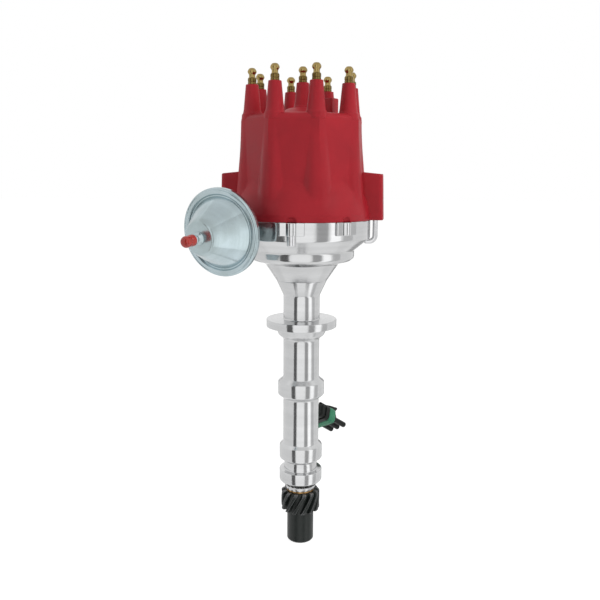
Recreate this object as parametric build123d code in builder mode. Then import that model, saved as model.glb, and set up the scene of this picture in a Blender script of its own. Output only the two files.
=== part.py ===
"""Ignition distributor for a V8 engine: turned housing, cap, drive gear and vacuum advance.

Frame: millimetres, +Z up the shaft, origin on the shaft axis at the collar's underside,
where the housing seats on the engine. -Y is the side that faces the viewer.
"""
import math
import os

from build123d import *

os.makedirs("parts", exist_ok=True)

# Clearances shared by every fit
RUN_FIT = 0.05
PRESS_GAP = 0.02
SEAT_GAP = 0.05
SOFT_GAP = 0.3

# Housing stem below the collar, radius and height of each step
COLUMN_R = 13.1
BOSS_R = 16.7
BOSS_TOP_R = 19.0
BOSS_Z = -5.8
BOSS_FILLET = 3.1
UPPER_LAND_R = 16.95
UPPER_LAND_Z = (-50.5, -41.0)
UPPER_LAND_CHAMFER = 3.1
LOWER_LAND_R = 15.8
MIDDLE_LAND_Z = (-99.4, -89.8)
LOWER_LAND_Z = (-117.4, -108.7)
LAND_CHAMFER = 2.4
GROOVE_R = 12.1
END_NECK_R = 11.4
STEM_END_Z = -124.0

# Housing collar, neck and bowl above the seat
COLLAR_R = 25.4
COLLAR_T = 5.6
NECK_TOP_Z = 22.8
CONE_LINE_R = 18.3
CONE_LINE_Z = 33.9
CONE_TOP_R = 26.9
CONE_TOP_Z = 46.6
RIM_R = 48.2
RIM_Z = (64.7, 77.4)
RIM_OVERHANG = 11.0
RING_R = RIM_R - RIM_OVERHANG
RING_Z = (48.5, 55.6)
RIM_WALL = 5.2
BOWL_R = RIM_R - RIM_WALL
LEDGE_W = 4.5
LEDGE_R = BOWL_R - LEDGE_W
LEDGE_Z = 69.0
LEDGE_H = 5.5
RING_WALL = 2.7
BOWL_LOWER_R = RING_R - RING_WALL
BOWL_FLOOR_Z = 53.0
LIP_T = 1.9
LIP_H = 3.0

# Rim bosses, two of them with a screw through
BOSS_ANGLES = (53.36, 98.36, 233.36, 323.36)
SCREWED_BOSSES = (98.36, 323.36)
RIM_BOSS_W = 17.0
RIM_BOSS_PROUD = 0.9
RIM_BOSS_Z = 68.6
RIM_COLUMN_R = 3.8
RIM_COLUMN_AT = RIM_R - 0.6
RIM_SCREW_R = 3.15
RIM_SCREW_END_Z = 61.8

# Shaft, bushes and the washers at its ends
SHAFT_R = 6.23
SHAFT_TOP_R = 5.0
SHAFT_STEP_Z = 58.0
SHAFT_TOP_Z = 92.0
BUSH_R = 8.0
UPPER_BUSH_L = 26.0
LOWER_BUSH_L = 22.0
RELIEF_R = 7.0
WASHER_R = 10.5
WASHER_T = 1.2
UPPER_WASHER_T = 1.0
SHIM_R = 9.4
SHIM_T = 0.35

# Drive gear
GEAR_TEETH = 13
GEAR_R = 14.4
GEAR_ROOT_R = 11.3
GEAR_TOP_Z = STEM_END_Z - WASHER_T - SEAT_GAP - SHIM_T
GEAR_FACE_L = 15.2
GEAR_HELIX_DEG = 30.0
HUB_R = 9.92
HUB_L = 24.7
HUB_END_Z = GEAR_TOP_Z - GEAR_FACE_L - HUB_L
HUB_CHAMFER = 0.8
GEAR_PIN_R = 2.4
GEAR_PIN_Z = HUB_END_Z + 15.5
DRIVE_SLOT_W = 4.8
DRIVE_SLOT_DEPTH = 10.0
SHAFT_END_Z = HUB_END_Z + 2.0
GEAR_TIP_CHAMFER = (1.4, 1.8)

# Centrifugal advance in the bottom of the bowl
WEIGHT_BASE_Z = 55.9
WEIGHT_BASE_T = 2.0
WEIGHT_BASE_GAP = 4.5
WEIGHT_BASE_R = BOWL_LOWER_R - WEIGHT_BASE_GAP
WEIGHT_WAIST_R = 15.5
WEIGHT_WAIST_AT = 39.0
WEIGHT_HUB_R = 9.2
WEIGHT_PIVOT_R = 20.0
WEIGHT_W = 10.5
WEIGHT_T = 4.0
WEIGHT_ARC_DEG = 110.0
PIVOT_PIN_R = 2.0
CAM_PIN_R = 1.4
CAM_PIN_AT = (17.0, 108.0)
CAM_PIN_MOVED_AT = (20.4, 95.8)
CAM_SLOT_PLAY = 0.4
CAM_PLATE_R = 9.2
CAM_PLATE_T = 1.5
CAM_ARM_W = 8.0
SLEEVE_R = 8.0
POST_R = 1.2
POST_AT = (15.0, 163.3)
POST_TOP_Z = 68.3
SPRING_R = 1.5

# Pickup above the advance mechanism
BASE_PLATE_T = 1.5
PLATE_COLLAR_R = 16.0
PLATE_COLLAR_BORE = 13.5
PLATE_COLLAR_H = 2.9
PICKUP_PLATE_R = 23.0
PICKUP_PLATE_T = 1.5
RELUCTOR_Z = (73.6, 81.6)
RELUCTOR_TIP_R = 17.0
RELUCTOR_ROOT_R = 12.5
POLE_GAP = 0.6
PICKUP_DEG = -52.0
PICKUP_W = 16.0
PICKUP_D = 9.0
PICKUP_H = 11.0
PLATE_SCREW_R = 2.0
PLATE_SCREW_HEAD_R = 3.4
PLATE_SCREW_HEAD_H = 1.8
BASE_SCREW_AT = BOWL_R - 2.8
BASE_SCREW_LUG = 0.6
BASE_SCREW_DEGS = (15.0, 125.0, 255.0)

# Ignition module on the base plate
MODULE_SIZE = (27.0, 12.0, 7.0)
MODULE_GAP = 3.15
MODULE_CORNER_R = BOWL_R - MODULE_GAP
MODULE_Y = math.sqrt(MODULE_CORNER_R ** 2 - (MODULE_SIZE[0] / 2) ** 2) - MODULE_SIZE[1] / 2
MODULE_SCREW_X = 10.6

# Rotor on top of the advance sleeve
ROTOR_HUB_R = 12.0
ROTOR_Z = (84.5, 101.0)
ROTOR_ARM_W = 13.0
ROTOR_ARM_R = 25.0
ROTOR_ARM_T = 5.0
ROTOR_TAIL_R = 17.0
BLADE_R = 29.4
BLADE_TAIL_R = 14.0
BLADE_W = 8.0
BLADE_T = 1.2
STRIP_TOP_Z = 116.0
STRIP_W = 4.0
STRIP_T = 0.8
ROTOR_DEG = -75.86
ROTOR_SCREW_AT = -11.0
ROTOR_SCREW_R = 1.6
ROTOR_SCREW_HEAD_R = 2.8
ROTOR_SCREW_HEAD_H = 1.8
ROTOR_SOCKET_H = 6.0

# Cap: a ribbed red moulding with eight plug towers and one coil tower
TOWER_COUNT = 8
TOWER_FIRST_DEG = -30.86
TOWER_CIRCLE_R = 35.25
TOWER_TOP_R = 4.3
TOWER_TOP_Z = 167.4
TOWER_SLOPE = 0.095
COIL_TOWER_TOP_Z = 169.9
CAP_Z = RIM_Z[1]
CAP_PROUD = 0.4
CAP_SKIRT_R = RIM_R + CAP_PROUD
CAP_BAND_H = 4.2
CAP_SHOULDER = (CAP_SKIRT_R - 2.4, 91.0)
CAP_SKIRT_TOP = (41.0, 102.0)
PANEL_LOW_R = 41.4
PANEL_LOW_Z = 88.0
PANEL_TOP_R = 39.6
PANEL_TOP_Z = 147.6
PANEL_TOP_FILLET = 4.2
HUMP_R = 20.0
HUMP_H = 5.5
CAP_REGISTER_H = 3.4
CAP_INNER_LOW_R = BOWL_R - 1.0
CAP_INNER_R = 31.5
CAP_INNER_SHOULDER_Z = 99.0
CAP_CEILING_Z = 138.0
BRUSH_HUB_R = 6.5
BRUSH_HUB_Z = 122.0
BRUSH_ROOM_H = 12.0
EAR_DEG = 8.36
EAR_W = 18.0
EAR_R = RIM_R + 8.0
EAR_ROOT_R = RIM_R - 9.0
EAR_DRAFT = 1.0
EAR_TOP_Z = (110.3, 108.6)
EAR_CORNER_R = 3.0
SCOOP_R = 3.3
SCOOP_H = 3.6
SCOOP_AT = RIM_R + 1.6
VENT_DEG = 52.0
VENT_AT_R = 33.0
VENT_SIZE = (9.0, 8.0)
VENT_TOP_Z = 162.5

# Brass terminals and the contacts below them
POST_BASE_R = 2.9
POST_BASE_H = 4.3
POST_WAIST_R = 2.1
POST_BALL_R = 3.1
POST_H = 10.7
POST_STEM_R = 1.6
CONTACT_R = 3.0
CONTACT_AT_R = 33.2
CONTACT_Z = (98.0, 112.0)
BRUSH_R = 3.0
BRUSH_L = 7.0
BRUSH_TRAVEL = 1.2

# Hold-down latches in the cap's ears
LATCH_AT_R = EAR_R - 4.6
LATCH_ROD_R = 1.8
LATCH_HEAD_R = 4.0
LATCH_HEAD_H = 2.6
LATCH_BORE_R = 4.4
LATCH_SPRING_L = 9.0
LATCH_HEAD_SINK = 2.0
LATCH_FOOT_Z = 62.3
LATCH_FOOT_L = 7.2
LATCH_BEND_R = 4.0
LATCH_SPOT_R = 9.4
LATCH_SPOT_GAP = 0.2
LATCH_PUSH = 3.0
CLIP_T = 0.8
CLIP_R = 3.6

# Vacuum canister on its bracket, measured from the disc's front plane
CAN_AZ_DEG = 29.4
CAN_TILT_DEG = 5.6
CAN_ARM = 24.7
CAN_REACH = RIM_R + 17.5
CAN_Z = 70.4
CAN_R = 29.1
CAN_SHEET = 0.9
BACK_SHEET = 0.7
CRIMP_DEPTH = 4.4
FLANGE_R = 26.6
CONE_BASE_R = 24.2
CONE_BASE_DEPTH = 1.2
CONE_END_R = 10.9
CONE_END_H = 21.5
BACK_DEPTH = 12.0
BACK_FLAT_R = 8.4
BACK_NECK_L = 3.6
BACK_BASE_R = 24.5
BRACKET_T = 2.0
BRACKET_W = 34.0
BRACKET_Z = (62.5, 76.3)
BRACKET_SCREW_X = 12.5
BRACKET_SCREW_Y = -4.0
BRACKET_SCREW_R = 2.0
BRACKET_HEAD_R = 3.6
BRACKET_HEAD_H = 2.2
PAD_DEPTH = 22.0
ROD_SLOT_W = 10.0
ROD_SLOT_H = 5.5
ROD_W = 6.0
ROD_T = 1.4
ROD_EYE_R = 4.2
PLATE_PIN_R = 1.8
PLATE_PIN_TOP_Z = 80.0
PIN_PLAY = 0.55
DIAPHRAGM_T = 0.8
DIAPHRAGM_PLATE_R = 13.0
CAN_SPRING_R = 7.0
CAN_SPRING_T = 1.2
VACUUM_TRAVEL = 3.5
NIPPLE_R = 2.2
NIPPLE_BEAD_R = 3.1
NIPPLE_BORE_R = 1.1
NIPPLE_TIP_H = 35.6
PLUG_R = 3.5
PLUG_L = 8.4
PLUG_WALL = 1.0

# Module lead: route points chosen by hand, from the grommet to the connector
LEAD_R = 2.3
GROMMET_R = 4.2
GROMMET_NECK_R = 3.0
GROMMET_FLANGE_T = 1.2
GROMMET_TAPER_L = 3.5
LEAD_POINTS = [
    (7.0, 52.5, 71.0), (8.4, 62.0, 71.0), (9.2, 71.0, 67.0), (9.5, 77.5, 59.5), (9.3, 80.5, 50.0),
    (8.3, 79.5, 34.0), (5.8, 74.5, 8.0), (1.5, 67.0, -20.0), (-3.5, 59.5, -44.0),
    (-6.3, 56.3, -60.0), (-4.6, 56.6, -72.0), (0.6, 59.0, -81.0), (7.7, 62.9, -86.4),
]
CONNECTOR_ROW = (-0.705, 0.558, -0.439)
CONNECTOR_BODY = (26.0, 13.0, 14.0)
CONNECTOR_CORNER_R = 4.0
ARM_SINK = 2.0
SEAL_T = 4.2
SEAL_PROUD = 1.2
TOWER_TUBE_R = 2.3
TOWER_TUBE_BORE = 1.5
TOWER_TUBE_L = 13.0
TOWER_PITCH = 7.4
TOWER_BLOCK_L = 2.4
LATCH_ARM = (8.0, 2.0, 13.0)


def write(builder, name):
    """Label a finished piece and write it as the node of that name"""
    builder.part.label = name
    export_step(builder.part, f"parts/{name}.step")


def turned(points, axis_plane=Plane.XZ, mode=Mode.ADD):
    """Revolve a closed outline of (radius, height) points about the plane's upright axis"""
    with BuildSketch(axis_plane) as outline:
        with BuildLine():
            Polyline(*points, close=True)
        make_face()
    revolve(outline.sketch, axis=Axis(axis_plane.origin, axis_plane.y_dir), mode=mode)


def disc(radius, low, high, at=(0, 0), bore=0.0, mode=Mode.ADD):
    """A cylinder standing on the XY plane between two heights, with an optional bore"""
    with BuildSketch(Plane.XY.offset(low)) as face:
        with Locations(at):
            Circle(radius)
            if bore:
                Circle(bore, mode=Mode.SUBTRACT)
    extrude(face.sketch, amount=high - low, mode=mode)


def polar(radius, degrees):
    """A point on the XY plane from its radius and angle"""
    angle = math.radians(degrees)
    return (radius * math.cos(angle), radius * math.sin(angle))


def spring(radius, low, high, wire_r, at=(0, 0)):
    """A close-wound spring drawn as the tube that its coils fill"""
    disc(radius + wire_r, low, high, at=at, bore=radius - wire_r)


def pan_screw(shank_r, head_r, head_h, seat_z, end_z, at):
    """A slotted pan-head screw, its head on seat_z"""
    disc(head_r, seat_z, seat_z + head_h, at=at)
    disc(shank_r, end_z, seat_z, at=at)
    with BuildSketch(Plane.XY.offset(seat_z + head_h)) as slot:
        with Locations(at):
            Rectangle(2 * head_r, head_r * 0.3)
    extrude(slot.sketch, amount=-head_h * 0.45, mode=Mode.SUBTRACT)


# Places worked out from the sizes above
tower_step = 360.0 / TOWER_COUNT
tower_degs = [TOWER_FIRST_DEG + tower_step * k for k in range(TOWER_COUNT)]
boss_degs = [-a for a in BOSS_ANGLES]
screwed_degs = [-a for a in SCREWED_BOSSES]
latch_degs = {"right": -EAR_DEG, "left": 180.0 - EAR_DEG}

weight_base_top = WEIGHT_BASE_Z + WEIGHT_BASE_T
weight_low = weight_base_top + SEAT_GAP
weight_top = weight_low + WEIGHT_T
cam_low = weight_top + 2 * SEAT_GAP
cam_top = cam_low + CAM_PLATE_T
base_plate_top = LEDGE_Z + BASE_PLATE_T
pickup_low = base_plate_top + SEAT_GAP
pickup_top = pickup_low + PICKUP_PLATE_T
collar_top = base_plate_top + PLATE_COLLAR_H

can_az = math.radians(CAN_AZ_DEG)
can_tilt = math.radians(CAN_TILT_DEG)
can_out = Vector(-math.sin(can_az), -math.cos(can_az), 0)
can_side = Vector(math.cos(can_az), -math.sin(can_az), 0)
can_axis = can_out * math.cos(can_tilt) - Vector(0, 0, math.sin(can_tilt))
can_centre = can_out * CAN_REACH - can_side * CAN_ARM + Vector(0, 0, CAN_Z)
can_turn = Plane(origin=can_centre, x_dir=can_side, z_dir=can_side.cross(can_axis))
can_face = Plane(origin=can_centre, x_dir=can_side, z_dir=can_axis)
plate_pin_at = -can_side * CAN_ARM
pad_face_depth = BACK_DEPTH + CRIMP_DEPTH + BRACKET_T
pin_depth = CAN_REACH / math.cos(can_tilt)
lead_exit = Vector(*LEAD_POINTS[0])
lead_dir = (Vector(*LEAD_POINTS[1]) - lead_exit).normalized()
exit_plane = Plane(origin=lead_exit, x_dir=(0, 0, 1), z_dir=lead_dir)
flange_plane = exit_plane.offset(RIM_R + SEAT_GAP - math.hypot(lead_exit.X, lead_exit.Y))
bracket_mid_y = (BRACKET_Z[0] + BRACKET_Z[1]) / 2 - CAN_Z - pad_face_depth * math.sin(can_tilt)

# Turned and bored housing
with BuildPart() as housing:
    turned([
        (0, STEM_END_Z), (END_NECK_R - 0.4, STEM_END_Z), (END_NECK_R + 0.2, LOWER_LAND_Z[0] - 3.2),
        (LOWER_LAND_R - 3.4, LOWER_LAND_Z[0] - 2.9), (LOWER_LAND_R, LOWER_LAND_Z[0] + 0.6),
        (LOWER_LAND_R, LOWER_LAND_Z[1]), (GROOVE_R, LOWER_LAND_Z[1] + 0.2),
        (GROOVE_R, MIDDLE_LAND_Z[0] - LAND_CHAMFER), (LOWER_LAND_R, MIDDLE_LAND_Z[0]),
        (LOWER_LAND_R, MIDDLE_LAND_Z[1]), (COLUMN_R, MIDDLE_LAND_Z[1] + LAND_CHAMFER),
        (COLUMN_R, UPPER_LAND_Z[0] - UPPER_LAND_CHAMFER), (UPPER_LAND_R, UPPER_LAND_Z[0]),
        (UPPER_LAND_R, UPPER_LAND_Z[1]), (COLUMN_R, UPPER_LAND_Z[1] + UPPER_LAND_CHAMFER),
        (COLUMN_R, BOSS_Z - BOSS_FILLET), (BOSS_R, BOSS_Z), (BOSS_TOP_R, 0),
        (COLLAR_R, 0), (COLLAR_R, COLLAR_T), (COLUMN_R, COLLAR_T), (COLUMN_R, NECK_TOP_Z),
        (CONE_LINE_R, CONE_LINE_Z), (CONE_TOP_R, CONE_TOP_Z), (RING_R - 2.2, RING_Z[0]),
        (RING_R, RING_Z[0] + 2.2), (RING_R, RING_Z[1]), (RIM_R, RIM_Z[0]), (RIM_R, RIM_Z[1]),
        (BOWL_R + LIP_T, RIM_Z[1]), (BOWL_R + LIP_T, RIM_Z[1] + LIP_H), (BOWL_R, RIM_Z[1] + LIP_H),
        (BOWL_R, LEDGE_Z), (LEDGE_R, LEDGE_Z), (LEDGE_R - 1.5, LEDGE_Z - LEDGE_H),
        (BOWL_LOWER_R, RING_Z[1]), (BOWL_LOWER_R, BOWL_FLOOR_Z), (0, BOWL_FLOOR_Z),
    ])
    # Rim bosses with their half-round columns
    for deg in boss_degs:
        boss_plane = Plane(origin=(0, 0, RIM_BOSS_Z), x_dir=(*polar(1, deg), 0), z_dir=(0, 0, 1))
        with BuildSketch(boss_plane):
            with Locations((RIM_R - 3 + RIM_BOSS_PROUD / 2, 0)):
                Rectangle(6 + RIM_BOSS_PROUD, RIM_BOSS_W)
            with Locations((RIM_COLUMN_AT, 0)):
                Circle(RIM_COLUMN_R)
        extrude(amount=RIM_Z[1] - RIM_BOSS_Z)
    # Pad that the canister bracket bolts to
    with BuildSketch(can_face.offset(-pad_face_depth)):
        with Locations((0, bracket_mid_y)):
            Rectangle(BRACKET_W, BRACKET_Z[1] - BRACKET_Z[0])
    extrude(amount=-PAD_DEPTH)
    with BuildSketch(can_face.offset(-pad_face_depth)):
        with Locations((0, bracket_mid_y)):
            Rectangle(BRACKET_W + 2, BRACKET_Z[1] - BRACKET_Z[0] + 2)
    extrude(amount=BRACKET_T + 1, mode=Mode.SUBTRACT)
    disc(BOWL_R, LEDGE_Z, RIM_Z[1] + 2 * LIP_H, mode=Mode.SUBTRACT)
    disc(RIM_R + 9, RIM_Z[1], RIM_Z[1] + 2 * LIP_H, bore=BOWL_R + LIP_T, mode=Mode.SUBTRACT)
    # Lugs under the base plate screws
    for deg in BASE_SCREW_DEGS:
        disc(PLATE_SCREW_HEAD_R + BASE_SCREW_LUG, RING_Z[1] + 4, LEDGE_Z, at=polar(BASE_SCREW_AT, deg))
    # Shaft bore, bush seats and threaded holes
    disc(RELIEF_R, STEM_END_Z, BOWL_FLOOR_Z, mode=Mode.SUBTRACT)
    disc(BUSH_R + PRESS_GAP, BOWL_FLOOR_Z - UPPER_BUSH_L, BOWL_FLOOR_Z, mode=Mode.SUBTRACT)
    disc(BUSH_R + PRESS_GAP, STEM_END_Z, STEM_END_Z + LOWER_BUSH_L, mode=Mode.SUBTRACT)
    for deg in BASE_SCREW_DEGS:
        disc(PLATE_SCREW_R + PRESS_GAP, LEDGE_Z - 7, LEDGE_Z, at=polar(BASE_SCREW_AT, deg),
             mode=Mode.SUBTRACT)
    for deg in screwed_degs:
        at = polar(RIM_COLUMN_AT, deg)
        disc(RIM_SCREW_R + PRESS_GAP, RIM_SCREW_END_Z - 2, RIM_Z[1], at=at, mode=Mode.SUBTRACT)
    # Slot for the vacuum rod and the bracket's threaded holes
    with BuildSketch(can_face.offset(-pad_face_depth)):
        Rectangle(ROD_SLOT_W, ROD_SLOT_H)
    extrude(amount=-PAD_DEPTH - 8, mode=Mode.SUBTRACT)
    with BuildSketch(can_face.offset(-pad_face_depth)):
        with Locations((-BRACKET_SCREW_X, BRACKET_SCREW_Y), (BRACKET_SCREW_X, BRACKET_SCREW_Y)):
            Circle(BRACKET_SCREW_R + PRESS_GAP)
    extrude(amount=-6, mode=Mode.SUBTRACT)
    # Spot faces under the rim for the latch hooks
    for deg in latch_degs.values():
        disc(LATCH_SPOT_R, RING_Z[1] + 3.6, LATCH_FOOT_Z + LATCH_ROD_R + LATCH_SPOT_GAP,
             at=polar(LATCH_AT_R, deg), mode=Mode.SUBTRACT)
    # Hole for the lead's grommet
    with BuildSketch(flange_plane):
        Circle(GROMMET_NECK_R)
    extrude(amount=-RIM_WALL - SEAT_GAP, mode=Mode.SUBTRACT)
write(housing, "housing")
print("housing volume", round(housing.part.volume), "solids", len(housing.part.solids()))

# Bronze bushes and the washers that take the shaft's end thrust
with BuildPart() as upper_bush:
    disc(BUSH_R, BOWL_FLOOR_Z - UPPER_BUSH_L, BOWL_FLOOR_Z, bore=SHAFT_R + RUN_FIT)
write(upper_bush, "upper_bush")

with BuildPart() as lower_bush:
    disc(BUSH_R, STEM_END_Z, STEM_END_Z + LOWER_BUSH_L, bore=SHAFT_R + RUN_FIT)
write(lower_bush, "lower_bush")

with BuildPart() as thrust_washer:
    disc(WASHER_R, STEM_END_Z - WASHER_T, STEM_END_Z, bore=SHAFT_R + RUN_FIT)
write(thrust_washer, "thrust_washer")

with BuildPart() as upper_washer:
    disc(WEIGHT_HUB_R, BOWL_FLOOR_Z, BOWL_FLOOR_Z + UPPER_WASHER_T, bore=SHAFT_R + RUN_FIT)
write(upper_washer, "upper_washer")

# Shaft with a reduced top and the drive slot in its lower end
with BuildPart() as shaft:
    disc(SHAFT_R, SHAFT_END_Z, SHAFT_STEP_Z)
    disc(SHAFT_TOP_R, SHAFT_STEP_Z, SHAFT_TOP_Z)
    chamfer(shaft.edges().group_by(Axis.Z)[-1], 0.6)
    with BuildSketch(Plane.XY.offset(SHAFT_END_Z)):
        Rectangle(DRIVE_SLOT_W, 3 * SHAFT_R)
    extrude(amount=DRIVE_SLOT_DEPTH, mode=Mode.SUBTRACT)
    with BuildSketch(Plane.YZ.offset(-SHAFT_R * 1.5)):
        with Locations((0, GEAR_PIN_Z)):
            Circle(GEAR_PIN_R + PRESS_GAP)
    extrude(amount=3 * SHAFT_R, mode=Mode.SUBTRACT)
write(shaft, "shaft")

# Helical drive gear: the tooth outline turns as it rises, right-handed
gear_low_z = GEAR_TOP_Z - GEAR_FACE_L
gear_twist = math.degrees(GEAR_FACE_L * math.tan(math.radians(GEAR_HELIX_DEG)) / GEAR_R)
tooth_step = 360.0 / GEAR_TEETH
tooth_tip_half = tooth_step * 0.13
tooth_root_half = tooth_step * 0.31


def gear_outline():
    """One turn of tooth flanks, tips and roots"""
    points = []
    for tooth in range(GEAR_TEETH):
        middle = tooth * tooth_step
        points.append(polar(GEAR_ROOT_R, middle - tooth_root_half))
        points.append(polar(GEAR_R, middle - tooth_tip_half))
        points.append(polar(GEAR_R, middle + tooth_tip_half))
        points.append(polar(GEAR_ROOT_R, middle + tooth_root_half))
    return points


GEAR_SECTIONS = 4
with BuildPart() as drive_gear:
    for section in range(GEAR_SECTIONS):
        rise = section / (GEAR_SECTIONS - 1)
        section_plane = Plane(
            origin=(0, 0, gear_low_z + rise * GEAR_FACE_L),
            x_dir=(*polar(1, rise * gear_twist), 0),
            z_dir=(0, 0, 1),
        )
        with BuildSketch(section_plane):
            with BuildLine():
                Polyline(*gear_outline(), close=True)
            make_face()
    loft()
    # Tooth ends turned off on the top face
    turned([
        (GEAR_R - GEAR_TIP_CHAMFER[0], GEAR_TOP_Z), (GEAR_R + 2, GEAR_TOP_Z),
        (GEAR_R + 2, GEAR_TOP_Z - GEAR_TIP_CHAMFER[1]), (GEAR_R, GEAR_TOP_Z - GEAR_TIP_CHAMFER[1]),
    ], mode=Mode.SUBTRACT)
    disc(HUB_R, HUB_END_Z, gear_low_z + 1)
    chamfer(drive_gear.edges().group_by(Axis.Z)[0], HUB_CHAMFER)
    disc(SHAFT_R + PRESS_GAP, HUB_END_Z, GEAR_TOP_Z, mode=Mode.SUBTRACT)
    with BuildSketch(Plane.YZ.offset(-HUB_R * 1.5)):
        with Locations((0, GEAR_PIN_Z)):
            Circle(GEAR_PIN_R + PRESS_GAP)
    extrude(amount=3 * HUB_R, mode=Mode.SUBTRACT)
write(drive_gear, "drive_gear")

with BuildPart() as gear_pin:
    with BuildSketch(Plane.YZ.offset(-HUB_R + 0.3)):
        with Locations((0, GEAR_PIN_Z)):
            Circle(GEAR_PIN_R)
            Circle(GEAR_PIN_R * 0.55, mode=Mode.SUBTRACT)
    extrude(amount=2 * (HUB_R - 0.3))
write(gear_pin, "gear_pin")

with BuildPart() as gear_shim:
    disc(SHIM_R, GEAR_TOP_Z, GEAR_TOP_Z + SHIM_T, bore=SHAFT_R + PRESS_GAP)
write(gear_shim, "gear_shim")

# Weight base fixed on the shaft, with pivots for the weights and posts for the springs
pivot_spots = [polar(WEIGHT_PIVOT_R, 0), polar(WEIGHT_PIVOT_R, 180)]
post_spots = [polar(POST_AT[0], POST_AT[1]), polar(POST_AT[0], POST_AT[1] + 180)]
with BuildPart() as weight_base:
    disc(WEIGHT_BASE_R, WEIGHT_BASE_Z, weight_base_top)
    with BuildSketch(Plane.XY.offset(WEIGHT_BASE_Z)):
        with Locations((0, WEIGHT_WAIST_AT), (0, -WEIGHT_WAIST_AT)):
            Circle(WEIGHT_WAIST_R)
    extrude(amount=WEIGHT_BASE_T, mode=Mode.SUBTRACT)
    disc(WEIGHT_HUB_R, BOWL_FLOOR_Z + UPPER_WASHER_T + SEAT_GAP, WEIGHT_BASE_Z)
    disc(SHAFT_R + PRESS_GAP, BOWL_FLOOR_Z, weight_base_top, mode=Mode.SUBTRACT)
    for spot in pivot_spots:
        disc(PIVOT_PIN_R + PRESS_GAP, WEIGHT_BASE_Z, weight_base_top, at=spot, mode=Mode.SUBTRACT)
    for spot in post_spots:
        disc(POST_R + PRESS_GAP, WEIGHT_BASE_Z, weight_base_top, at=spot, mode=Mode.SUBTRACT)
write(weight_base, "weight_base")

with BuildPart() as weight_pivots:
    for spot in pivot_spots:
        disc(PIVOT_PIN_R, WEIGHT_BASE_Z, weight_top + SEAT_GAP, at=spot)
write(weight_pivots, "weight_pivots")

with BuildPart() as spring_posts:
    for spot in post_spots:
        disc(POST_R, WEIGHT_BASE_Z, POST_TOP_Z, at=spot)
write(spring_posts, "spring_posts")

# Two crescent weights, each with the pin that drives the cam plate
cam_pin_spots = [polar(*CAM_PIN_AT), polar(CAM_PIN_AT[0], CAM_PIN_AT[1] + 180)]
for side, (turn_deg, cam_pin) in enumerate(zip((0, 180), cam_pin_spots)):
    with BuildPart() as weight:
        with BuildSketch(Plane.XY.offset(weight_low)):
            arc = CenterArc((0, 0), WEIGHT_PIVOT_R, turn_deg, WEIGHT_ARC_DEG, mode=Mode.PRIVATE)
            SlotArc(arc, WEIGHT_W)
        extrude(amount=WEIGHT_T)
        disc(PIVOT_PIN_R + RUN_FIT, weight_low, weight_top, at=pivot_spots[side], mode=Mode.SUBTRACT)
        disc(CAM_PIN_R, weight_low, POST_TOP_Z, at=cam_pin)
    write(weight, "weight_" + "ab"[side])

# Cam plate and the sleeve that carries reluctor and rotor
slot_start = Vector(*polar(*CAM_PIN_AT))
slot_end_r = CAM_PIN_MOVED_AT[0] + CAM_PIN_R + CAM_SLOT_PLAY
with BuildPart() as advance_cam:
    disc(CAM_PLATE_R, cam_low, cam_top)
    for turn_deg in (0, 180):
        arm_plane = Plane(
            origin=(0, 0, cam_low), x_dir=(*polar(1, CAM_PIN_AT[1] + turn_deg), 0), z_dir=(0, 0, 1))
        with BuildSketch(arm_plane) as arm:
            with Locations((slot_end_r / 2 + 1, 0)):
                Rectangle(slot_end_r + 2, CAM_ARM_W)
        extrude(amount=CAM_PLATE_T)
        with BuildSketch(arm_plane):
            with Locations(((CAM_PIN_AT[0] + CAM_PIN_MOVED_AT[0]) / 2, 0)):
                SlotOverall(
                    CAM_PIN_MOVED_AT[0] - CAM_PIN_AT[0] + 2 * (CAM_PIN_R + CAM_SLOT_PLAY),
                    2 * (CAM_PIN_R + CAM_SLOT_PLAY))
        extrude(amount=CAM_PLATE_T, mode=Mode.SUBTRACT)
    disc(SLEEVE_R, cam_low, ROTOR_Z[0] + ROTOR_SOCKET_H)
    disc(SHAFT_TOP_R + RUN_FIT, cam_low, ROTOR_Z[0] + ROTOR_SOCKET_H, mode=Mode.SUBTRACT)
write(advance_cam, "advance_cam")

with BuildPart() as advance_springs:
    for post, pin in zip(post_spots, cam_pin_spots):
        along = Vector(pin[0] - post[0], pin[1] - post[1], 0)
        start = Vector(*post, 0) + along.normalized() * (POST_R + SOFT_GAP)
        coil_z = (cam_top + POST_TOP_Z) / 2 + 0.4
        coil_plane = Plane(origin=(start.X, start.Y, coil_z), x_dir=(0, 0, 1), z_dir=along)
        with BuildSketch(coil_plane):
            Circle(SPRING_R)
        extrude(amount=along.length - POST_R - CAM_PIN_R - 2 * SOFT_GAP)
write(advance_springs, "advance_springs")

# Fixed base plate on the bowl's ledge, its collar guiding the pickup plate
with BuildPart() as base_plate:
    disc(BOWL_R - SOFT_GAP, LEDGE_Z, base_plate_top)
    disc(PLATE_COLLAR_R, base_plate_top, collar_top)
    disc(PLATE_COLLAR_BORE, LEDGE_Z, collar_top, mode=Mode.SUBTRACT)
    for deg in BASE_SCREW_DEGS:
        disc(PLATE_SCREW_R + PRESS_GAP, LEDGE_Z, base_plate_top, at=polar(BASE_SCREW_AT, deg),
             mode=Mode.SUBTRACT)
    for x in (-MODULE_SCREW_X, MODULE_SCREW_X):
        disc(PLATE_SCREW_R + PRESS_GAP, LEDGE_Z, base_plate_top, at=(x, MODULE_Y), mode=Mode.SUBTRACT)
write(base_plate, "base_plate")

with BuildPart() as base_plate_screws:
    for deg in BASE_SCREW_DEGS:
        pan_screw(PLATE_SCREW_R, PLATE_SCREW_HEAD_R * 0.8, PLATE_SCREW_HEAD_H, base_plate_top,
                  LEDGE_Z - 6.5, polar(BASE_SCREW_AT, deg))
write(base_plate_screws, "base_plate_screws")

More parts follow.
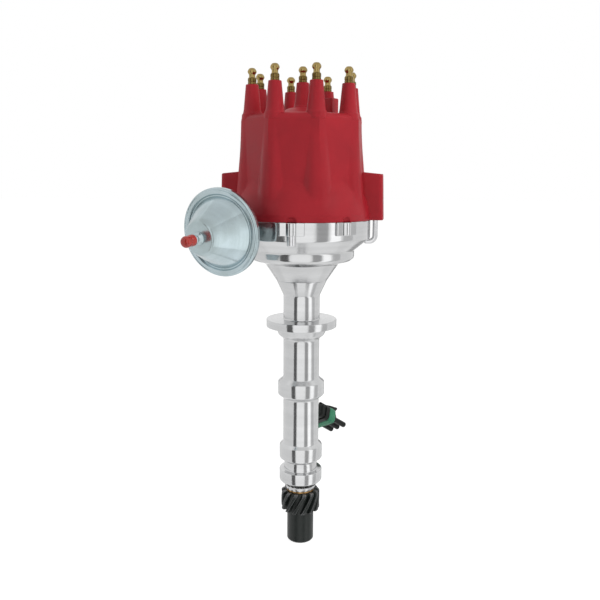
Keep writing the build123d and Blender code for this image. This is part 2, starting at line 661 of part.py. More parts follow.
# Ignition module with its two screws
with BuildPart() as ignition_module:
    with BuildSketch(Plane.XY.offset(base_plate_top)):
        with Locations((0, MODULE_Y)):
            RectangleRounded(MODULE_SIZE[0], MODULE_SIZE[1], 2.0)
    extrude(amount=MODULE_SIZE[2])
    for x in (-MODULE_SCREW_X, MODULE_SCREW_X):
        disc(PLATE_SCREW_HEAD_R * 0.8, base_plate_top + 3, base_plate_top + MODULE_SIZE[2],
             at=(x, MODULE_Y), mode=Mode.SUBTRACT)
        disc(PLATE_SCREW_R + PRESS_GAP, base_plate_top, base_plate_top + 3, at=(x, MODULE_Y),
             mode=Mode.SUBTRACT)
write(ignition_module, "ignition_module")

with BuildPart() as module_screws:
    for x in (-MODULE_SCREW_X, MODULE_SCREW_X):
        pan_screw(PLATE_SCREW_R, PLATE_SCREW_HEAD_R * 0.7, PLATE_SCREW_HEAD_H, base_plate_top + 3,
                  LEDGE_Z - 2, (x, MODULE_Y))
write(module_screws, "module_screws")

# Pickup plate, free to turn on the collar, with the vacuum rod's pin
pickup_mid_plane = Plane(origin=(0, 0, pickup_low), x_dir=(*polar(1, PICKUP_DEG), 0), z_dir=(0, 0, 1))
pin_plane = Plane(origin=(0, 0, pickup_low), x_dir=plate_pin_at, z_dir=(0, 0, 1))
with BuildPart() as pickup_plate:
    with BuildSketch(Plane.XY.offset(pickup_low)):
        Circle(PICKUP_PLATE_R)
    extrude(amount=PICKUP_PLATE_T)
    with BuildSketch(pickup_mid_plane):
        with Locations((RELUCTOR_TIP_R + PICKUP_D, 0)):
            RectangleRounded(2 * PICKUP_D + 2, PICKUP_W + 2, 2.5)
    extrude(amount=PICKUP_PLATE_T)
    with BuildSketch(pin_plane):
        with Locations((CAN_ARM / 2 + 2, 0)):
            RectangleRounded(CAN_ARM + 4, 9.0, 3.0)
    extrude(amount=PICKUP_PLATE_T)
    disc(PLATE_COLLAR_R + RUN_FIT, pickup_low, pickup_top, mode=Mode.SUBTRACT)
    disc(PLATE_PIN_R + PRESS_GAP, pickup_low, pickup_top, at=(plate_pin_at.X, plate_pin_at.Y),
         mode=Mode.SUBTRACT)
write(pickup_plate, "pickup_plate")

with BuildPart() as plate_ring:
    disc(PLATE_COLLAR_R + 1.6, pickup_top + SEAT_GAP, collar_top, bore=PLATE_COLLAR_R + PRESS_GAP)
write(plate_ring, "plate_ring")

with BuildPart() as vacuum_pin:
    disc(PLATE_PIN_R, pickup_low, PLATE_PIN_TOP_Z, at=(plate_pin_at.X, plate_pin_at.Y))
write(vacuum_pin, "vacuum_pin")

# Pickup coil on its steel pole piece, facing the reluctor across the working gap
with BuildPart() as pickup_coil:
    with BuildSketch(pickup_mid_plane.offset(PICKUP_PLATE_T)):
        with Locations((RELUCTOR_TIP_R + POLE_GAP + 3 + PICKUP_D / 2, 0)):
            RectangleRounded(PICKUP_D, PICKUP_W, 2.0)
    extrude(amount=PICKUP_H)
    with BuildSketch(pickup_mid_plane.offset(RELUCTOR_Z[0] + 2 - pickup_low)):
        with Locations((RELUCTOR_TIP_R + PICKUP_D / 2, 0)):
            Rectangle(2 * PICKUP_D + 8, 4.0 + 2 * PRESS_GAP)
    extrude(amount=4.0, mode=Mode.SUBTRACT)
write(pickup_coil, "pickup_coil")

with BuildPart() as pickup_pole:
    with BuildSketch(pickup_mid_plane.offset(RELUCTOR_Z[0] + 2 - pickup_low + PRESS_GAP)):
        with Locations((RELUCTOR_TIP_R + POLE_GAP + (PICKUP_D + 3) / 2, 0)):
            Rectangle(PICKUP_D + 3, 4.0)
    extrude(amount=4.0 - 2 * PRESS_GAP)
write(pickup_pole, "pickup_pole")

# Eight-pointed reluctor on the advance sleeve
with BuildPart() as reluctor:
    with BuildSketch(Plane.XY.offset(RELUCTOR_Z[0])):
        Circle(RELUCTOR_ROOT_R)
        with PolarLocations((RELUCTOR_TIP_R + RELUCTOR_ROOT_R) / 2 - 1, TOWER_COUNT, start_angle=PICKUP_DEG):
            Rectangle(RELUCTOR_TIP_R - RELUCTOR_ROOT_R + 2, 3.0)
        Circle(SLEEVE_R + PRESS_GAP, mode=Mode.SUBTRACT)
    extrude(amount=RELUCTOR_Z[1] - RELUCTOR_Z[0])
write(reluctor, "reluctor")

# Rotor, its brass blade and the spring strip that meets the cap's brush
rotor_plane = Plane(origin=(0, 0, ROTOR_Z[1]), x_dir=(*polar(1, ROTOR_DEG), 0), z_dir=(0, 0, 1))
with BuildPart() as rotor:
    disc(ROTOR_HUB_R, ROTOR_Z[0], ROTOR_Z[1])
    fillet(rotor.edges().group_by(Axis.Z)[0], 1.0)
    with BuildSketch(rotor_plane):
        with Locations(((ROTOR_ARM_R - ROTOR_TAIL_R) / 2, 0)):
            RectangleRounded(ROTOR_ARM_R + ROTOR_TAIL_R, ROTOR_ARM_W, 4.0)
    extrude(amount=-ROTOR_ARM_T)
    disc(SLEEVE_R + PRESS_GAP, ROTOR_Z[0], ROTOR_Z[0] + ROTOR_SOCKET_H, mode=Mode.SUBTRACT)
    disc(SHAFT_TOP_R + 1, ROTOR_Z[0] + ROTOR_SOCKET_H, SHAFT_TOP_Z + 1, mode=Mode.SUBTRACT)
    with BuildSketch(rotor_plane):
        with Locations((ROTOR_SCREW_AT, 0)):
            Circle(ROTOR_SCREW_R + PRESS_GAP)
    extrude(amount=-ROTOR_ARM_T, mode=Mode.SUBTRACT)
write(rotor, "rotor")

with BuildPart() as rotor_blade:
    with BuildSketch(rotor_plane):
        with Locations(((BLADE_R - BLADE_TAIL_R) / 2, 0)):
            Rectangle(BLADE_R + BLADE_TAIL_R, BLADE_W)
        with Locations((ROTOR_SCREW_AT, 0)):
            Circle(ROTOR_SCREW_R + PRESS_GAP, mode=Mode.SUBTRACT)
    extrude(amount=BLADE_T)
    with BuildSketch(rotor_plane):
        with Locations((BLADE_R - 1.0, 0)):
            Rectangle(2.0, BLADE_W)
    extrude(amount=-3.0)
write(rotor_blade, "rotor_blade")

with BuildPart() as rotor_screw:
    with BuildSketch(rotor_plane.offset(BLADE_T)):
        with Locations((ROTOR_SCREW_AT, 0)):
            Circle(ROTOR_SCREW_HEAD_R)
    extrude(amount=ROTOR_SCREW_HEAD_H)
    with BuildSketch(rotor_plane.offset(BLADE_T)):
        with Locations((ROTOR_SCREW_AT, 0)):
            Circle(ROTOR_SCREW_R)
    extrude(amount=-ROTOR_ARM_T - BLADE_T)
write(rotor_screw, "rotor_screw")

blade_top = ROTOR_Z[1] + BLADE_T
strip_dir = Vector(*polar(1, ROTOR_DEG), 0)
strip_plane = Plane(origin=(0, 0, blade_top), x_dir=strip_dir, z_dir=strip_dir.cross(Vector(0, 0, 1)))
strip_h = STRIP_TOP_Z - blade_top
with BuildPart() as rotor_strip:
    with BuildSketch(strip_plane.offset(-STRIP_W / 2)):
        with BuildLine():
            Polyline((-6, 0), (9, 0), (9, STRIP_T), (-4, STRIP_T), (3, strip_h - STRIP_T),
                     (3, strip_h), (-3, strip_h), (-6, STRIP_T), close=True)
        make_face()
    extrude(amount=STRIP_W)
write(rotor_strip, "rotor_strip")

# Cap moulding: tapered eight-sided body, tower ribs at its corners, round skirt and two ears
with BuildPart() as distributor_cap:
    for apothem, height in ((PANEL_LOW_R, PANEL_LOW_Z), (PANEL_TOP_R, PANEL_TOP_Z)):
        with BuildSketch(Plane.XY.offset(height)):
            RegularPolygon(apothem, TOWER_COUNT, major_radius=False, rotation=TOWER_FIRST_DEG)
    loft(ruled=True)
    top_edges = distributor_cap.faces().sort_by(Axis.Z)[-1].edges()
    fillet(top_edges, PANEL_TOP_FILLET)
    # Round skirt with a convex shoulder and a straight band at its foot
    with BuildSketch(Plane.XZ) as skirt:
        with BuildLine():
            band_top = (CAP_SKIRT_R, CAP_Z + CAP_BAND_H)
            Line((0, CAP_Z), (CAP_SKIRT_R, CAP_Z))
            Line((CAP_SKIRT_R, CAP_Z), band_top)
            ThreePointArc(band_top, CAP_SHOULDER, CAP_SKIRT_TOP)
            Line(CAP_SKIRT_TOP, (0, CAP_SKIRT_TOP[1]))
            Line((0, CAP_SKIRT_TOP[1]), (0, CAP_Z))
        make_face()
    revolve(axis=Axis.Z)
    # Low hump that carries the coil tower
    turned([(0, PANEL_TOP_Z), (HUMP_R, PANEL_TOP_Z), (HUMP_R * 0.45, PANEL_TOP_Z + HUMP_H * 0.75),
            (TOWER_TOP_R * 1.4, PANEL_TOP_Z + HUMP_H), (0, PANEL_TOP_Z + HUMP_H)])
    # Plug towers, each a cone that runs down the body as a rib
    rib_h = TOWER_TOP_Z - CAP_Z - CAP_BAND_H
    for deg in tower_degs:
        with BuildSketch(Plane.XY.offset(CAP_Z + CAP_BAND_H)):
            with Locations(polar(TOWER_CIRCLE_R, deg)):
                Circle(TOWER_TOP_R + TOWER_SLOPE * rib_h)
        with BuildSketch(Plane.XY.offset(TOWER_TOP_Z)):
            with Locations(polar(TOWER_CIRCLE_R, deg)):
                Circle(TOWER_TOP_R)
        loft(ruled=True)
    with BuildSketch(Plane.XY.offset(PANEL_TOP_Z)):
        Circle(TOWER_TOP_R + TOWER_SLOPE * (COIL_TOWER_TOP_Z - PANEL_TOP_Z))
    with BuildSketch(Plane.XY.offset(COIL_TOWER_TOP_Z)):
        Circle(TOWER_TOP_R)
    loft(ruled=True)
    # Ears for the latches
    for deg in latch_degs.values():
        ear_plane = Plane(origin=(0, 0, 0), x_dir=(*polar(1, deg), 0),
                          z_dir=Vector(*polar(1, deg), 0).cross(Vector(0, 0, 1)))
        with BuildSketch(ear_plane.offset(-EAR_W / 2)):
            with BuildLine():
                Polyline((EAR_ROOT_R, CAP_Z), (EAR_R + EAR_DRAFT, CAP_Z), (EAR_R, EAR_TOP_Z[1]),
                         (EAR_ROOT_R, EAR_TOP_Z[0]), close=True)
            make_face()
        extrude(amount=EAR_W)
    ear_h = EAR_TOP_Z[1] - CAP_Z
    ear_corners = distributor_cap.edges().filter_by(
        lambda e: e.length > 0.8 * ear_h and e.center().Z < EAR_TOP_Z[1]
        and Vector(e.center().X, e.center().Y, 0).length > EAR_R)
    fillet(ear_corners, EAR_CORNER_R)
    # Scoops in the skirt's foot above the rim bosses
    for deg in boss_degs:
        disc(SCOOP_R, CAP_Z, CAP_Z + SCOOP_H, at=polar(SCOOP_AT, deg), mode=Mode.SUBTRACT)
    # Vent block beside a rear tower
    vent_plane = Plane(origin=(0, 0, PANEL_TOP_Z - 6), x_dir=(*polar(1, VENT_DEG), 0), z_dir=(0, 0, 1))
    with BuildSketch(vent_plane):
        with Locations((VENT_AT_R, 0)):
            Rectangle(*VENT_SIZE)
    extrude(amount=VENT_TOP_Z - PANEL_TOP_Z + 6)
    # Inside: register on the housing lip, chamber for the rotor, hub for the brush
    turned([
        (0, CAP_Z), (BOWL_R + LIP_T + SOFT_GAP, CAP_Z), (BOWL_R + LIP_T + SOFT_GAP, CAP_Z + CAP_REGISTER_H),
        (CAP_INNER_LOW_R, CAP_Z + CAP_REGISTER_H), (CAP_INNER_R + 4, CAP_INNER_SHOULDER_Z - 5),
        (CAP_INNER_R, CAP_INNER_SHOULDER_Z), (CAP_INNER_R, CAP_CEILING_Z - 4),
        (CAP_INNER_R - 4, CAP_CEILING_Z), (BRUSH_HUB_R + 1, CAP_CEILING_Z), (BRUSH_HUB_R, BRUSH_HUB_Z),
        (0, BRUSH_HUB_Z),
    ], mode=Mode.SUBTRACT)
    # Holes for the terminals, contacts, brush and latches
    contact_spots = [polar(CONTACT_AT_R, deg) for deg in tower_degs]
    terminal_spots = [polar(TOWER_CIRCLE_R, deg) for deg in tower_degs]
    for spot in terminal_spots:
        disc(POST_STEM_R + PRESS_GAP, CONTACT_Z[1], TOWER_TOP_Z, at=spot, mode=Mode.SUBTRACT)
    for spot in contact_spots:
        disc(CONTACT_R + PRESS_GAP, CONTACT_Z[0], CONTACT_Z[1], at=spot, mode=Mode.SUBTRACT)
    brush_room_top = BRUSH_HUB_Z + BRUSH_ROOM_H
    disc(BRUSH_R + RUN_FIT, BRUSH_HUB_Z, brush_room_top, mode=Mode.SUBTRACT)
    disc(POST_STEM_R + PRESS_GAP, brush_room_top, COIL_TOWER_TOP_Z, mode=Mode.SUBTRACT)
    for deg in latch_degs.values():
        at = polar(LATCH_AT_R, deg)
        disc(LATCH_ROD_R + RUN_FIT, CAP_Z, EAR_TOP_Z[0] + 2, at=at, mode=Mode.SUBTRACT)
        disc(LATCH_BORE_R, EAR_TOP_Z[1] - LATCH_HEAD_SINK - LATCH_HEAD_H - LATCH_SPRING_L,
             EAR_TOP_Z[0] + 2, at=at, mode=Mode.SUBTRACT)
        disc(CLIP_R + SOFT_GAP, CAP_Z, CAP_Z + CLIP_T + LATCH_PUSH, at=at, mode=Mode.SUBTRACT)
write(distributor_cap, "distributor_cap")


def terminal_post(seat_z, stem_end_z, at):
    """Plug terminal: collar, waist and ball on a stem pressed into its tower"""
    x, y = at
    plane = Plane(origin=(x, y, seat_z), x_dir=(1, 0, 0), z_dir=(0, -1, 0))
    turned([
        (0, stem_end_z - seat_z), (POST_STEM_R, stem_end_z - seat_z), (POST_STEM_R, 0), (POST_BASE_R, 0),
        (POST_BASE_R, POST_BASE_H - 0.4), (POST_BASE_R - 0.5, POST_BASE_H),
        (POST_WAIST_R, POST_BASE_H + 0.6),
        (POST_WAIST_R, POST_H * 0.62), (POST_BALL_R, POST_H * 0.72), (POST_BALL_R, POST_H * 0.8),
        (POST_BALL_R * 0.66, POST_H * 0.97), (POST_BALL_R * 0.5, POST_H), (0, POST_H),
    ], axis_plane=plane)


with BuildPart() as spark_terminals:
    for spot in terminal_spots:
        terminal_post(TOWER_TOP_Z, CONTACT_Z[1], spot)
write(spark_terminals, "spark_terminals")

with BuildPart() as coil_terminal:
    terminal_post(COIL_TOWER_TOP_Z, brush_room_top - 2, (0, 0))
write(coil_terminal, "coil_terminal")

with BuildPart() as cap_contacts:
    for spot in contact_spots:
        disc(CONTACT_R, CONTACT_Z[0], CONTACT_Z[1], at=spot)
write(cap_contacts, "cap_contacts")

# Carbon brush and its spring in the cap's hub
brush_low = STRIP_TOP_Z + SEAT_GAP
with BuildPart() as carbon_brush:
    disc(BRUSH_R, brush_low + 1, brush_low + BRUSH_L + 3)
    disc(BRUSH_R * 0.7, brush_low, brush_low + 1)
write(carbon_brush, "carbon_brush")

with BuildPart() as brush_spring:
    spring(BRUSH_R - 1.0, brush_low + BRUSH_L + 3, brush_room_top, 0.35)
write(brush_spring, "brush_spring")

# Latches: hook rod with a slotted head, its spring and the clip under the ear
for side, deg in latch_degs.items():
    at = polar(LATCH_AT_R, deg)
    head_top = EAR_TOP_Z[1] - LATCH_HEAD_SINK
    inward = Vector(*polar(-1, deg), 0)
    with BuildPart() as latch_rod:
        disc(LATCH_HEAD_R, head_top - LATCH_HEAD_H, head_top, at=at)
        with BuildSketch(Plane(origin=(*at, head_top), x_dir=inward, z_dir=(0, 0, 1))):
            Rectangle(1.2, 2 * LATCH_HEAD_R)
        extrude(amount=-1.2, mode=Mode.SUBTRACT)
        bend_z = LATCH_FOOT_Z + LATCH_BEND_R
        bend_centre = Vector(*at, bend_z) + inward * LATCH_BEND_R
        disc(LATCH_ROD_R, bend_z, head_top - LATCH_HEAD_H, at=at)
        with BuildSketch(Plane.XY.offset(bend_z)) as bend_start:
            with Locations(at):
                Circle(LATCH_ROD_R)
        revolve(bend_start.sketch, axis=Axis(bend_centre, inward.cross(Vector(0, 0, 1))), revolution_arc=90)
        with BuildSketch(Plane(origin=bend_centre - Vector(0, 0, LATCH_BEND_R), z_dir=inward)):
            Circle(LATCH_ROD_R)
        extrude(amount=LATCH_FOOT_L - LATCH_BEND_R)
    write(latch_rod, f"latch_rod_{side}")
    with BuildPart() as latch_clip:
        disc(CLIP_R, CAP_Z + LATCH_PUSH, CAP_Z + LATCH_PUSH + CLIP_T - SEAT_GAP, at=at,
             bore=LATCH_ROD_R + PRESS_GAP)
    write(latch_clip, f"latch_clip_{side}")
    with BuildPart() as latch_spring:
        spring(LATCH_ROD_R + 1.1, head_top - LATCH_HEAD_H - LATCH_SPRING_L, head_top - LATCH_HEAD_H, 0.5,
               at=at)
    write(latch_spring, f"latch_spring_{side}")

# Screws through two of the rim bosses
with BuildPart() as rim_screws:
    for deg in screwed_degs:
        at = polar(RIM_COLUMN_AT, deg)
        disc(RIM_SCREW_R, RIM_SCREW_END_Z, RIM_Z[1], at=at)
    chamfer(rim_screws.edges().group_by(Axis.Z)[0], 0.9)
write(rim_screws, "rim_screws")

# Vacuum canister: cone-fronted shell crimped over the back shell and the diaphragm
diaphragm_low = -CAN_SHEET - CONE_BASE_DEPTH - PRESS_GAP - DIAPHRAGM_T
flange_low = diaphragm_low - PRESS_GAP - BACK_SHEET
back_low = -CRIMP_DEPTH - BACK_DEPTH
with BuildPart() as canister_front_shell:
    turned([
        (CAN_R - 0.7, 0), (CAN_R, -0.7), (CAN_R, -CRIMP_DEPTH + 0.5), (CAN_R - 0.5, -CRIMP_DEPTH),
        (FLANGE_R, -CRIMP_DEPTH), (FLANGE_R, flange_low - PRESS_GAP),
        (CAN_R - CAN_SHEET, flange_low - PRESS_GAP), (CAN_R - CAN_SHEET, -CAN_SHEET),
        (CONE_BASE_R + 0.6, -CAN_SHEET), (CONE_BASE_R - 0.2, -CAN_SHEET - CONE_BASE_DEPTH),
        (CONE_BASE_R - 1.4, -CAN_SHEET - CONE_BASE_DEPTH), (CONE_END_R - 1.0, CONE_END_H - CAN_SHEET),
        (NIPPLE_R - PRESS_GAP * 4, CONE_END_H - CAN_SHEET), (NIPPLE_R - PRESS_GAP * 4, CONE_END_H),
        (CONE_END_R - 0.6, CONE_END_H), (CONE_END_R, CONE_END_H - 0.6),
        (CONE_BASE_R - 0.4, -CONE_BASE_DEPTH), (CONE_BASE_R, -CONE_BASE_DEPTH), (CONE_BASE_R + 1.2, 0),
    ], axis_plane=can_turn)
write(canister_front_shell, "canister_front_shell")

with BuildPart() as canister_back_shell:
    neck_z = back_low + BACK_NECK_L
    turned([
        (CAN_R - CAN_SHEET - PRESS_GAP, flange_low),
        (CAN_R - CAN_SHEET - PRESS_GAP, flange_low + BACK_SHEET),
        (BACK_BASE_R - BACK_SHEET, flange_low + BACK_SHEET), (BACK_FLAT_R - BACK_SHEET, neck_z + BACK_SHEET),
        (BACK_FLAT_R - BACK_SHEET, back_low + BACK_SHEET), (ROD_EYE_R + 1.0, back_low + BACK_SHEET),
        (ROD_EYE_R + 1.0, back_low), (BACK_FLAT_R, back_low), (BACK_FLAT_R, neck_z),
        (BACK_BASE_R, flange_low),
    ], axis_plane=can_turn)
write(canister_back_shell, "canister_back_shell")

with BuildPart() as diaphragm:
    turned([
        (0, diaphragm_low), (CAN_R - CAN_SHEET - 0.2, diaphragm_low),
        (CAN_R - CAN_SHEET - 0.2, diaphragm_low + DIAPHRAGM_T), (0, diaphragm_low + DIAPHRAGM_T),
    ], axis_plane=can_turn)
write(diaphragm, "diaphragm")

with BuildPart() as diaphragm_plate:
    turned([
        (0, diaphragm_low - CAN_SHEET - SEAT_GAP), (DIAPHRAGM_PLATE_R, diaphragm_low - CAN_SHEET - SEAT_GAP),
        (DIAPHRAGM_PLATE_R, diaphragm_low - SEAT_GAP), (0, diaphragm_low - SEAT_GAP),
    ], axis_plane=can_turn)
write(diaphragm_plate, "diaphragm_plate")

with BuildPart() as canister_spring:
    spring_low = diaphragm_low + DIAPHRAGM_T
    turned([
        (CAN_SPRING_R - CAN_SPRING_T / 2, spring_low), (CAN_SPRING_R + CAN_SPRING_T / 2, spring_low),
        (CAN_SPRING_R + CAN_SPRING_T / 2, CONE_END_H - CAN_SHEET),
        (CAN_SPRING_R - CAN_SPRING_T / 2, CONE_END_H - CAN_SHEET),
    ], axis_plane=can_turn)
write(canister_spring, "canister_spring")

with BuildPart() as vacuum_nipple:
    bead_h = CONE_END_H + 4.2
    tip_h = NIPPLE_TIP_H - PLUG_WALL - SEAT_GAP
    turned([
        (NIPPLE_BORE_R, CONE_END_H), (NIPPLE_R + 2.2, CONE_END_H), (NIPPLE_R + 1.6, CONE_END_H + 0.9),
        (NIPPLE_R, CONE_END_H + 2.2), (NIPPLE_BEAD_R - 0.2, bead_h - 0.9), (NIPPLE_BEAD_R, bead_h),
        (NIPPLE_R, bead_h + 1.6), (NIPPLE_R, tip_h - 0.6), (NIPPLE_R - 0.5, tip_h), (NIPPLE_BORE_R, tip_h),
    ], axis_plane=can_turn)
write(vacuum_nipple, "vacuum_nipple")

with BuildPart() as nipple_plug:
    plug_low = NIPPLE_TIP_H - PLUG_L
    turned([
        (NIPPLE_R + RUN_FIT, plug_low), (PLUG_R - 0.5, plug_low), (PLUG_R, plug_low + 0.8),
        (PLUG_R, plug_low + PLUG_L * 0.36), (PLUG_R - 0.45, plug_low + PLUG_L * 0.48),
        (PLUG_R, plug_low + PLUG_L * 0.6), (PLUG_R, NIPPLE_TIP_H - 1.6), (PLUG_R - 1.0, NIPPLE_TIP_H - 0.3),
        (PLUG_R - 2.2, NIPPLE_TIP_H), (0, NIPPLE_TIP_H), (0, NIPPLE_TIP_H - PLUG_WALL),
        (NIPPLE_R + RUN_FIT, NIPPLE_TIP_H - PLUG_WALL),
    ], axis_plane=can_turn)
write(nipple_plug, "nipple_plug")

# Bracket between the back shell and the housing's pad
with BuildPart() as canister_bracket:
    with BuildSketch(can_face.offset(back_low - BRACKET_T)):
        with Locations((0, bracket_mid_y)):
            RectangleRounded(BRACKET_W, BRACKET_Z[1] - BRACKET_Z[0], 2.5)
        Rectangle(ROD_SLOT_W, ROD_SLOT_H, mode=Mode.SUBTRACT)
        with Locations((-BRACKET_SCREW_X, BRACKET_SCREW_Y), (BRACKET_SCREW_X, BRACKET_SCREW_Y)):
            Circle(BRACKET_SCREW_R + PRESS_GAP, mode=Mode.SUBTRACT)
    extrude(amount=BRACKET_T)
write(canister_bracket, "canister_bracket")

with BuildPart() as bracket_screws:
    screw_spots = [(-BRACKET_SCREW_X, BRACKET_SCREW_Y), (BRACKET_SCREW_X, BRACKET_SCREW_Y)]
    with BuildSketch(can_face.offset(back_low)):
        with Locations(*screw_spots):
            RegularPolygon(BRACKET_HEAD_R, 6)
    extrude(amount=BRACKET_HEAD_H)
    with BuildSketch(can_face.offset(back_low)):
        with Locations(*screw_spots):
            Circle(BRACKET_SCREW_R)
    extrude(amount=-BRACKET_T - 5)
write(bracket_screws, "bracket_screws")

# Vacuum rod from the diaphragm plate to the pin on the pickup plate
with BuildPart() as vacuum_rod:
    rod_top = diaphragm_low - CAN_SHEET - SEAT_GAP
    with BuildSketch(can_turn.offset(-ROD_T / 2)):
        with Locations((0, (rod_top - pin_depth) / 2)):
            Rectangle(ROD_W, pin_depth + rod_top)
        with Locations((0, -pin_depth)):
            Circle(ROD_EYE_R)
            Circle(PLATE_PIN_R + PIN_PLAY, mode=Mode.SUBTRACT)
    extrude(amount=ROD_T)
write(vacuum_rod, "vacuum_rod")

# Lead: straight runs joined by arcs as large as the runs allow
route_points = [Vector(*p) for p in LEAD_POINTS]
bend_radii = []
for before, here, after in zip(route_points, route_points[1:], route_points[2:]):
    half_turn = math.radians((here - before).get_angle(after - here)) / 2
    shorter = min((here - before).length, (after - here).length)
    bend_radii.append(0.45 * shorter / math.tan(half_turn))
print("lead bend radii", [round(r, 1) for r in bend_radii])

with BuildPart() as lead:
    with BuildLine() as lead_path:
        FilletPolyline(*route_points, radius=bend_radii)
    with BuildSketch(Plane(origin=route_points[0], z_dir=route_points[1] - route_points[0])):
        Circle(LEAD_R)
    sweep(path=lead_path.wires()[0])
lead_length = lead_path.wires()[0].length
print("lead length", round(lead_length, 1), "volume ratio",
      round(lead.part.volume / (math.pi * LEAD_R ** 2 * lead_length), 4))
write(lead, "lead")

# Rubber grommet where the lead leaves the bowl
with BuildPart() as lead_grommet:
    with BuildSketch(flange_plane.offset(GROMMET_FLANGE_T)):
        Circle(GROMMET_R)
    with BuildSketch(flange_plane.offset(GROMMET_FLANGE_T + GROMMET_TAPER_L)):
        Circle(LEAD_R + 0.6)
    loft(ruled=True)
    with BuildSketch(flange_plane):
        Circle(GROMMET_R)
    extrude(amount=GROMMET_FLANGE_T)
    with BuildSketch(flange_plane):
        Circle(GROMMET_NECK_R - PRESS_GAP)
    extrude(amount=-RIM_WALL)
write(lead_grommet, "lead_grommet")

# Three-way connector: body with a latch arm, green seal and three socket tubes
connector_dir = (route_points[-1] - route_points[-2]).normalized()
row_dir = Vector(*CONNECTOR_ROW)
row_dir = (row_dir - connector_dir * row_dir.dot(connector_dir)).normalized()
connector_plane = Plane(origin=route_points[-1], x_dir=row_dir, z_dir=connector_dir)
body_w, body_h, body_l = CONNECTOR_BODY
with BuildPart() as connector_body:
    with BuildSketch(connector_plane):
        RectangleRounded(body_w, body_h, CONNECTOR_CORNER_R)
    extrude(amount=body_l)
    with BuildSketch(connector_plane.offset(body_l - ARM_SINK)):
        with Locations((0, body_h / 2 + LATCH_ARM[1] / 2)):
            Rectangle(LATCH_ARM[0], LATCH_ARM[1] + 0.4)
    extrude(amount=LATCH_ARM[2])
write(connector_body, "connector_body")

with BuildPart() as connector_seal:
    with BuildSketch(connector_plane.offset(body_l)):
        RectangleRounded(body_w + 2 * SEAL_PROUD - 3, body_h - 2.6, CONNECTOR_CORNER_R)
    extrude(amount=SEAL_T)
write(connector_seal, "connector_seal")

with BuildPart() as connector_sockets:
    with BuildSketch(connector_plane.offset(body_l + SEAL_T)):
        RectangleRounded(body_w - 4, body_h - 5, 3.0)
    extrude(amount=TOWER_BLOCK_L)
    with BuildSketch(connector_plane.offset(body_l + SEAL_T + TOWER_BLOCK_L)):
        with GridLocations(TOWER_PITCH, 0, 3, 1):
            Circle(TOWER_TUBE_R)
    extrude(amount=TOWER_TUBE_L)
    with BuildSketch(connector_plane.offset(body_l + SEAL_T + TOWER_BLOCK_L + TOWER_TUBE_L)):
        with GridLocations(TOWER_PITCH, 0, 3, 1):
            Circle(TOWER_TUBE_BORE)
    extrude(amount=-TOWER_TUBE_L + 1, mode=Mode.SUBTRACT)
write(connector_sockets, "connector_sockets")
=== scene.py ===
"""Finished surfaces of an ignition distributor, worked out with numpy around its CAD frame.

Sizes are in millimetres from the shaft axis at the hold-down collar's underside, +Z up the shaft.
"""

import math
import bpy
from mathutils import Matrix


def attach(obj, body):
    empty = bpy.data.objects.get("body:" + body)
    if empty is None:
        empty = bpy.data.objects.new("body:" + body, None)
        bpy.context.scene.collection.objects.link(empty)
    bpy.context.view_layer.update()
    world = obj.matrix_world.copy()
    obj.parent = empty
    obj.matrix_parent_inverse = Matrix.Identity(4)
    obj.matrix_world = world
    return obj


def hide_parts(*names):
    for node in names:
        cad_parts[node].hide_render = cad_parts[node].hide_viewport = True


bl_info = {
    "name": "Ignition distributor",
    "version": (1, 0, 0),
    "blender": (4, 5, 0),
    "location": "View3D > Sidebar > Distributor",
    "description": "Builds the surfaces and finishes of an ignition distributor around its CAD frame",
    "category": "Object",
}

from types import SimpleNamespace

import bmesh
import bpy
import numpy as np
from bpy.props import FloatProperty, FloatVectorProperty, IntProperty, PointerProperty
from mathutils import Matrix, Vector

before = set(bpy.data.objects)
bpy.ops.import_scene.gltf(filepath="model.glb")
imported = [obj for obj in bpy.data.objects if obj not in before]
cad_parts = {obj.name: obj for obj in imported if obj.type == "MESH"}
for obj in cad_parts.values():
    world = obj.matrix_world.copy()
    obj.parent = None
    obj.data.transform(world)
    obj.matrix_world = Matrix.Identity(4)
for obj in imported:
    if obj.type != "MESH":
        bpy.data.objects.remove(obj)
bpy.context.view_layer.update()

MM = 0.001
TAU = 2 * math.pi


def size(label, millimetres, about):
    """A length that the user can change"""
    return FloatProperty(name=label, default=millimetres * MM, description=about, unit="LENGTH", precision=5)


def angle(label, degrees, about):
    """An angle that the user can change"""
    return FloatProperty(name=label, default=math.radians(degrees), description=about, subtype="ANGLE")


def factor(label, value, about):
    """A ratio that the user can change"""
    return FloatProperty(name=label, default=value, description=about, subtype="FACTOR", precision=4)


def tint(label, value, about):
    """A linear colour that the user can change"""
    return FloatVectorProperty(name=label, default=value, size=3, subtype="COLOR", min=0, max=1,
                               description=about)


def measured(group):
    """The group's sizes as plain numbers, its lengths in millimetres"""
    values = {}
    for key, kind in group.bl_rna.properties.items():
        if key not in ("rna_type", "name"):
            value = getattr(group, key)
            values[key] = value / MM if kind.unit == "LENGTH" else value
    return SimpleNamespace(**values)


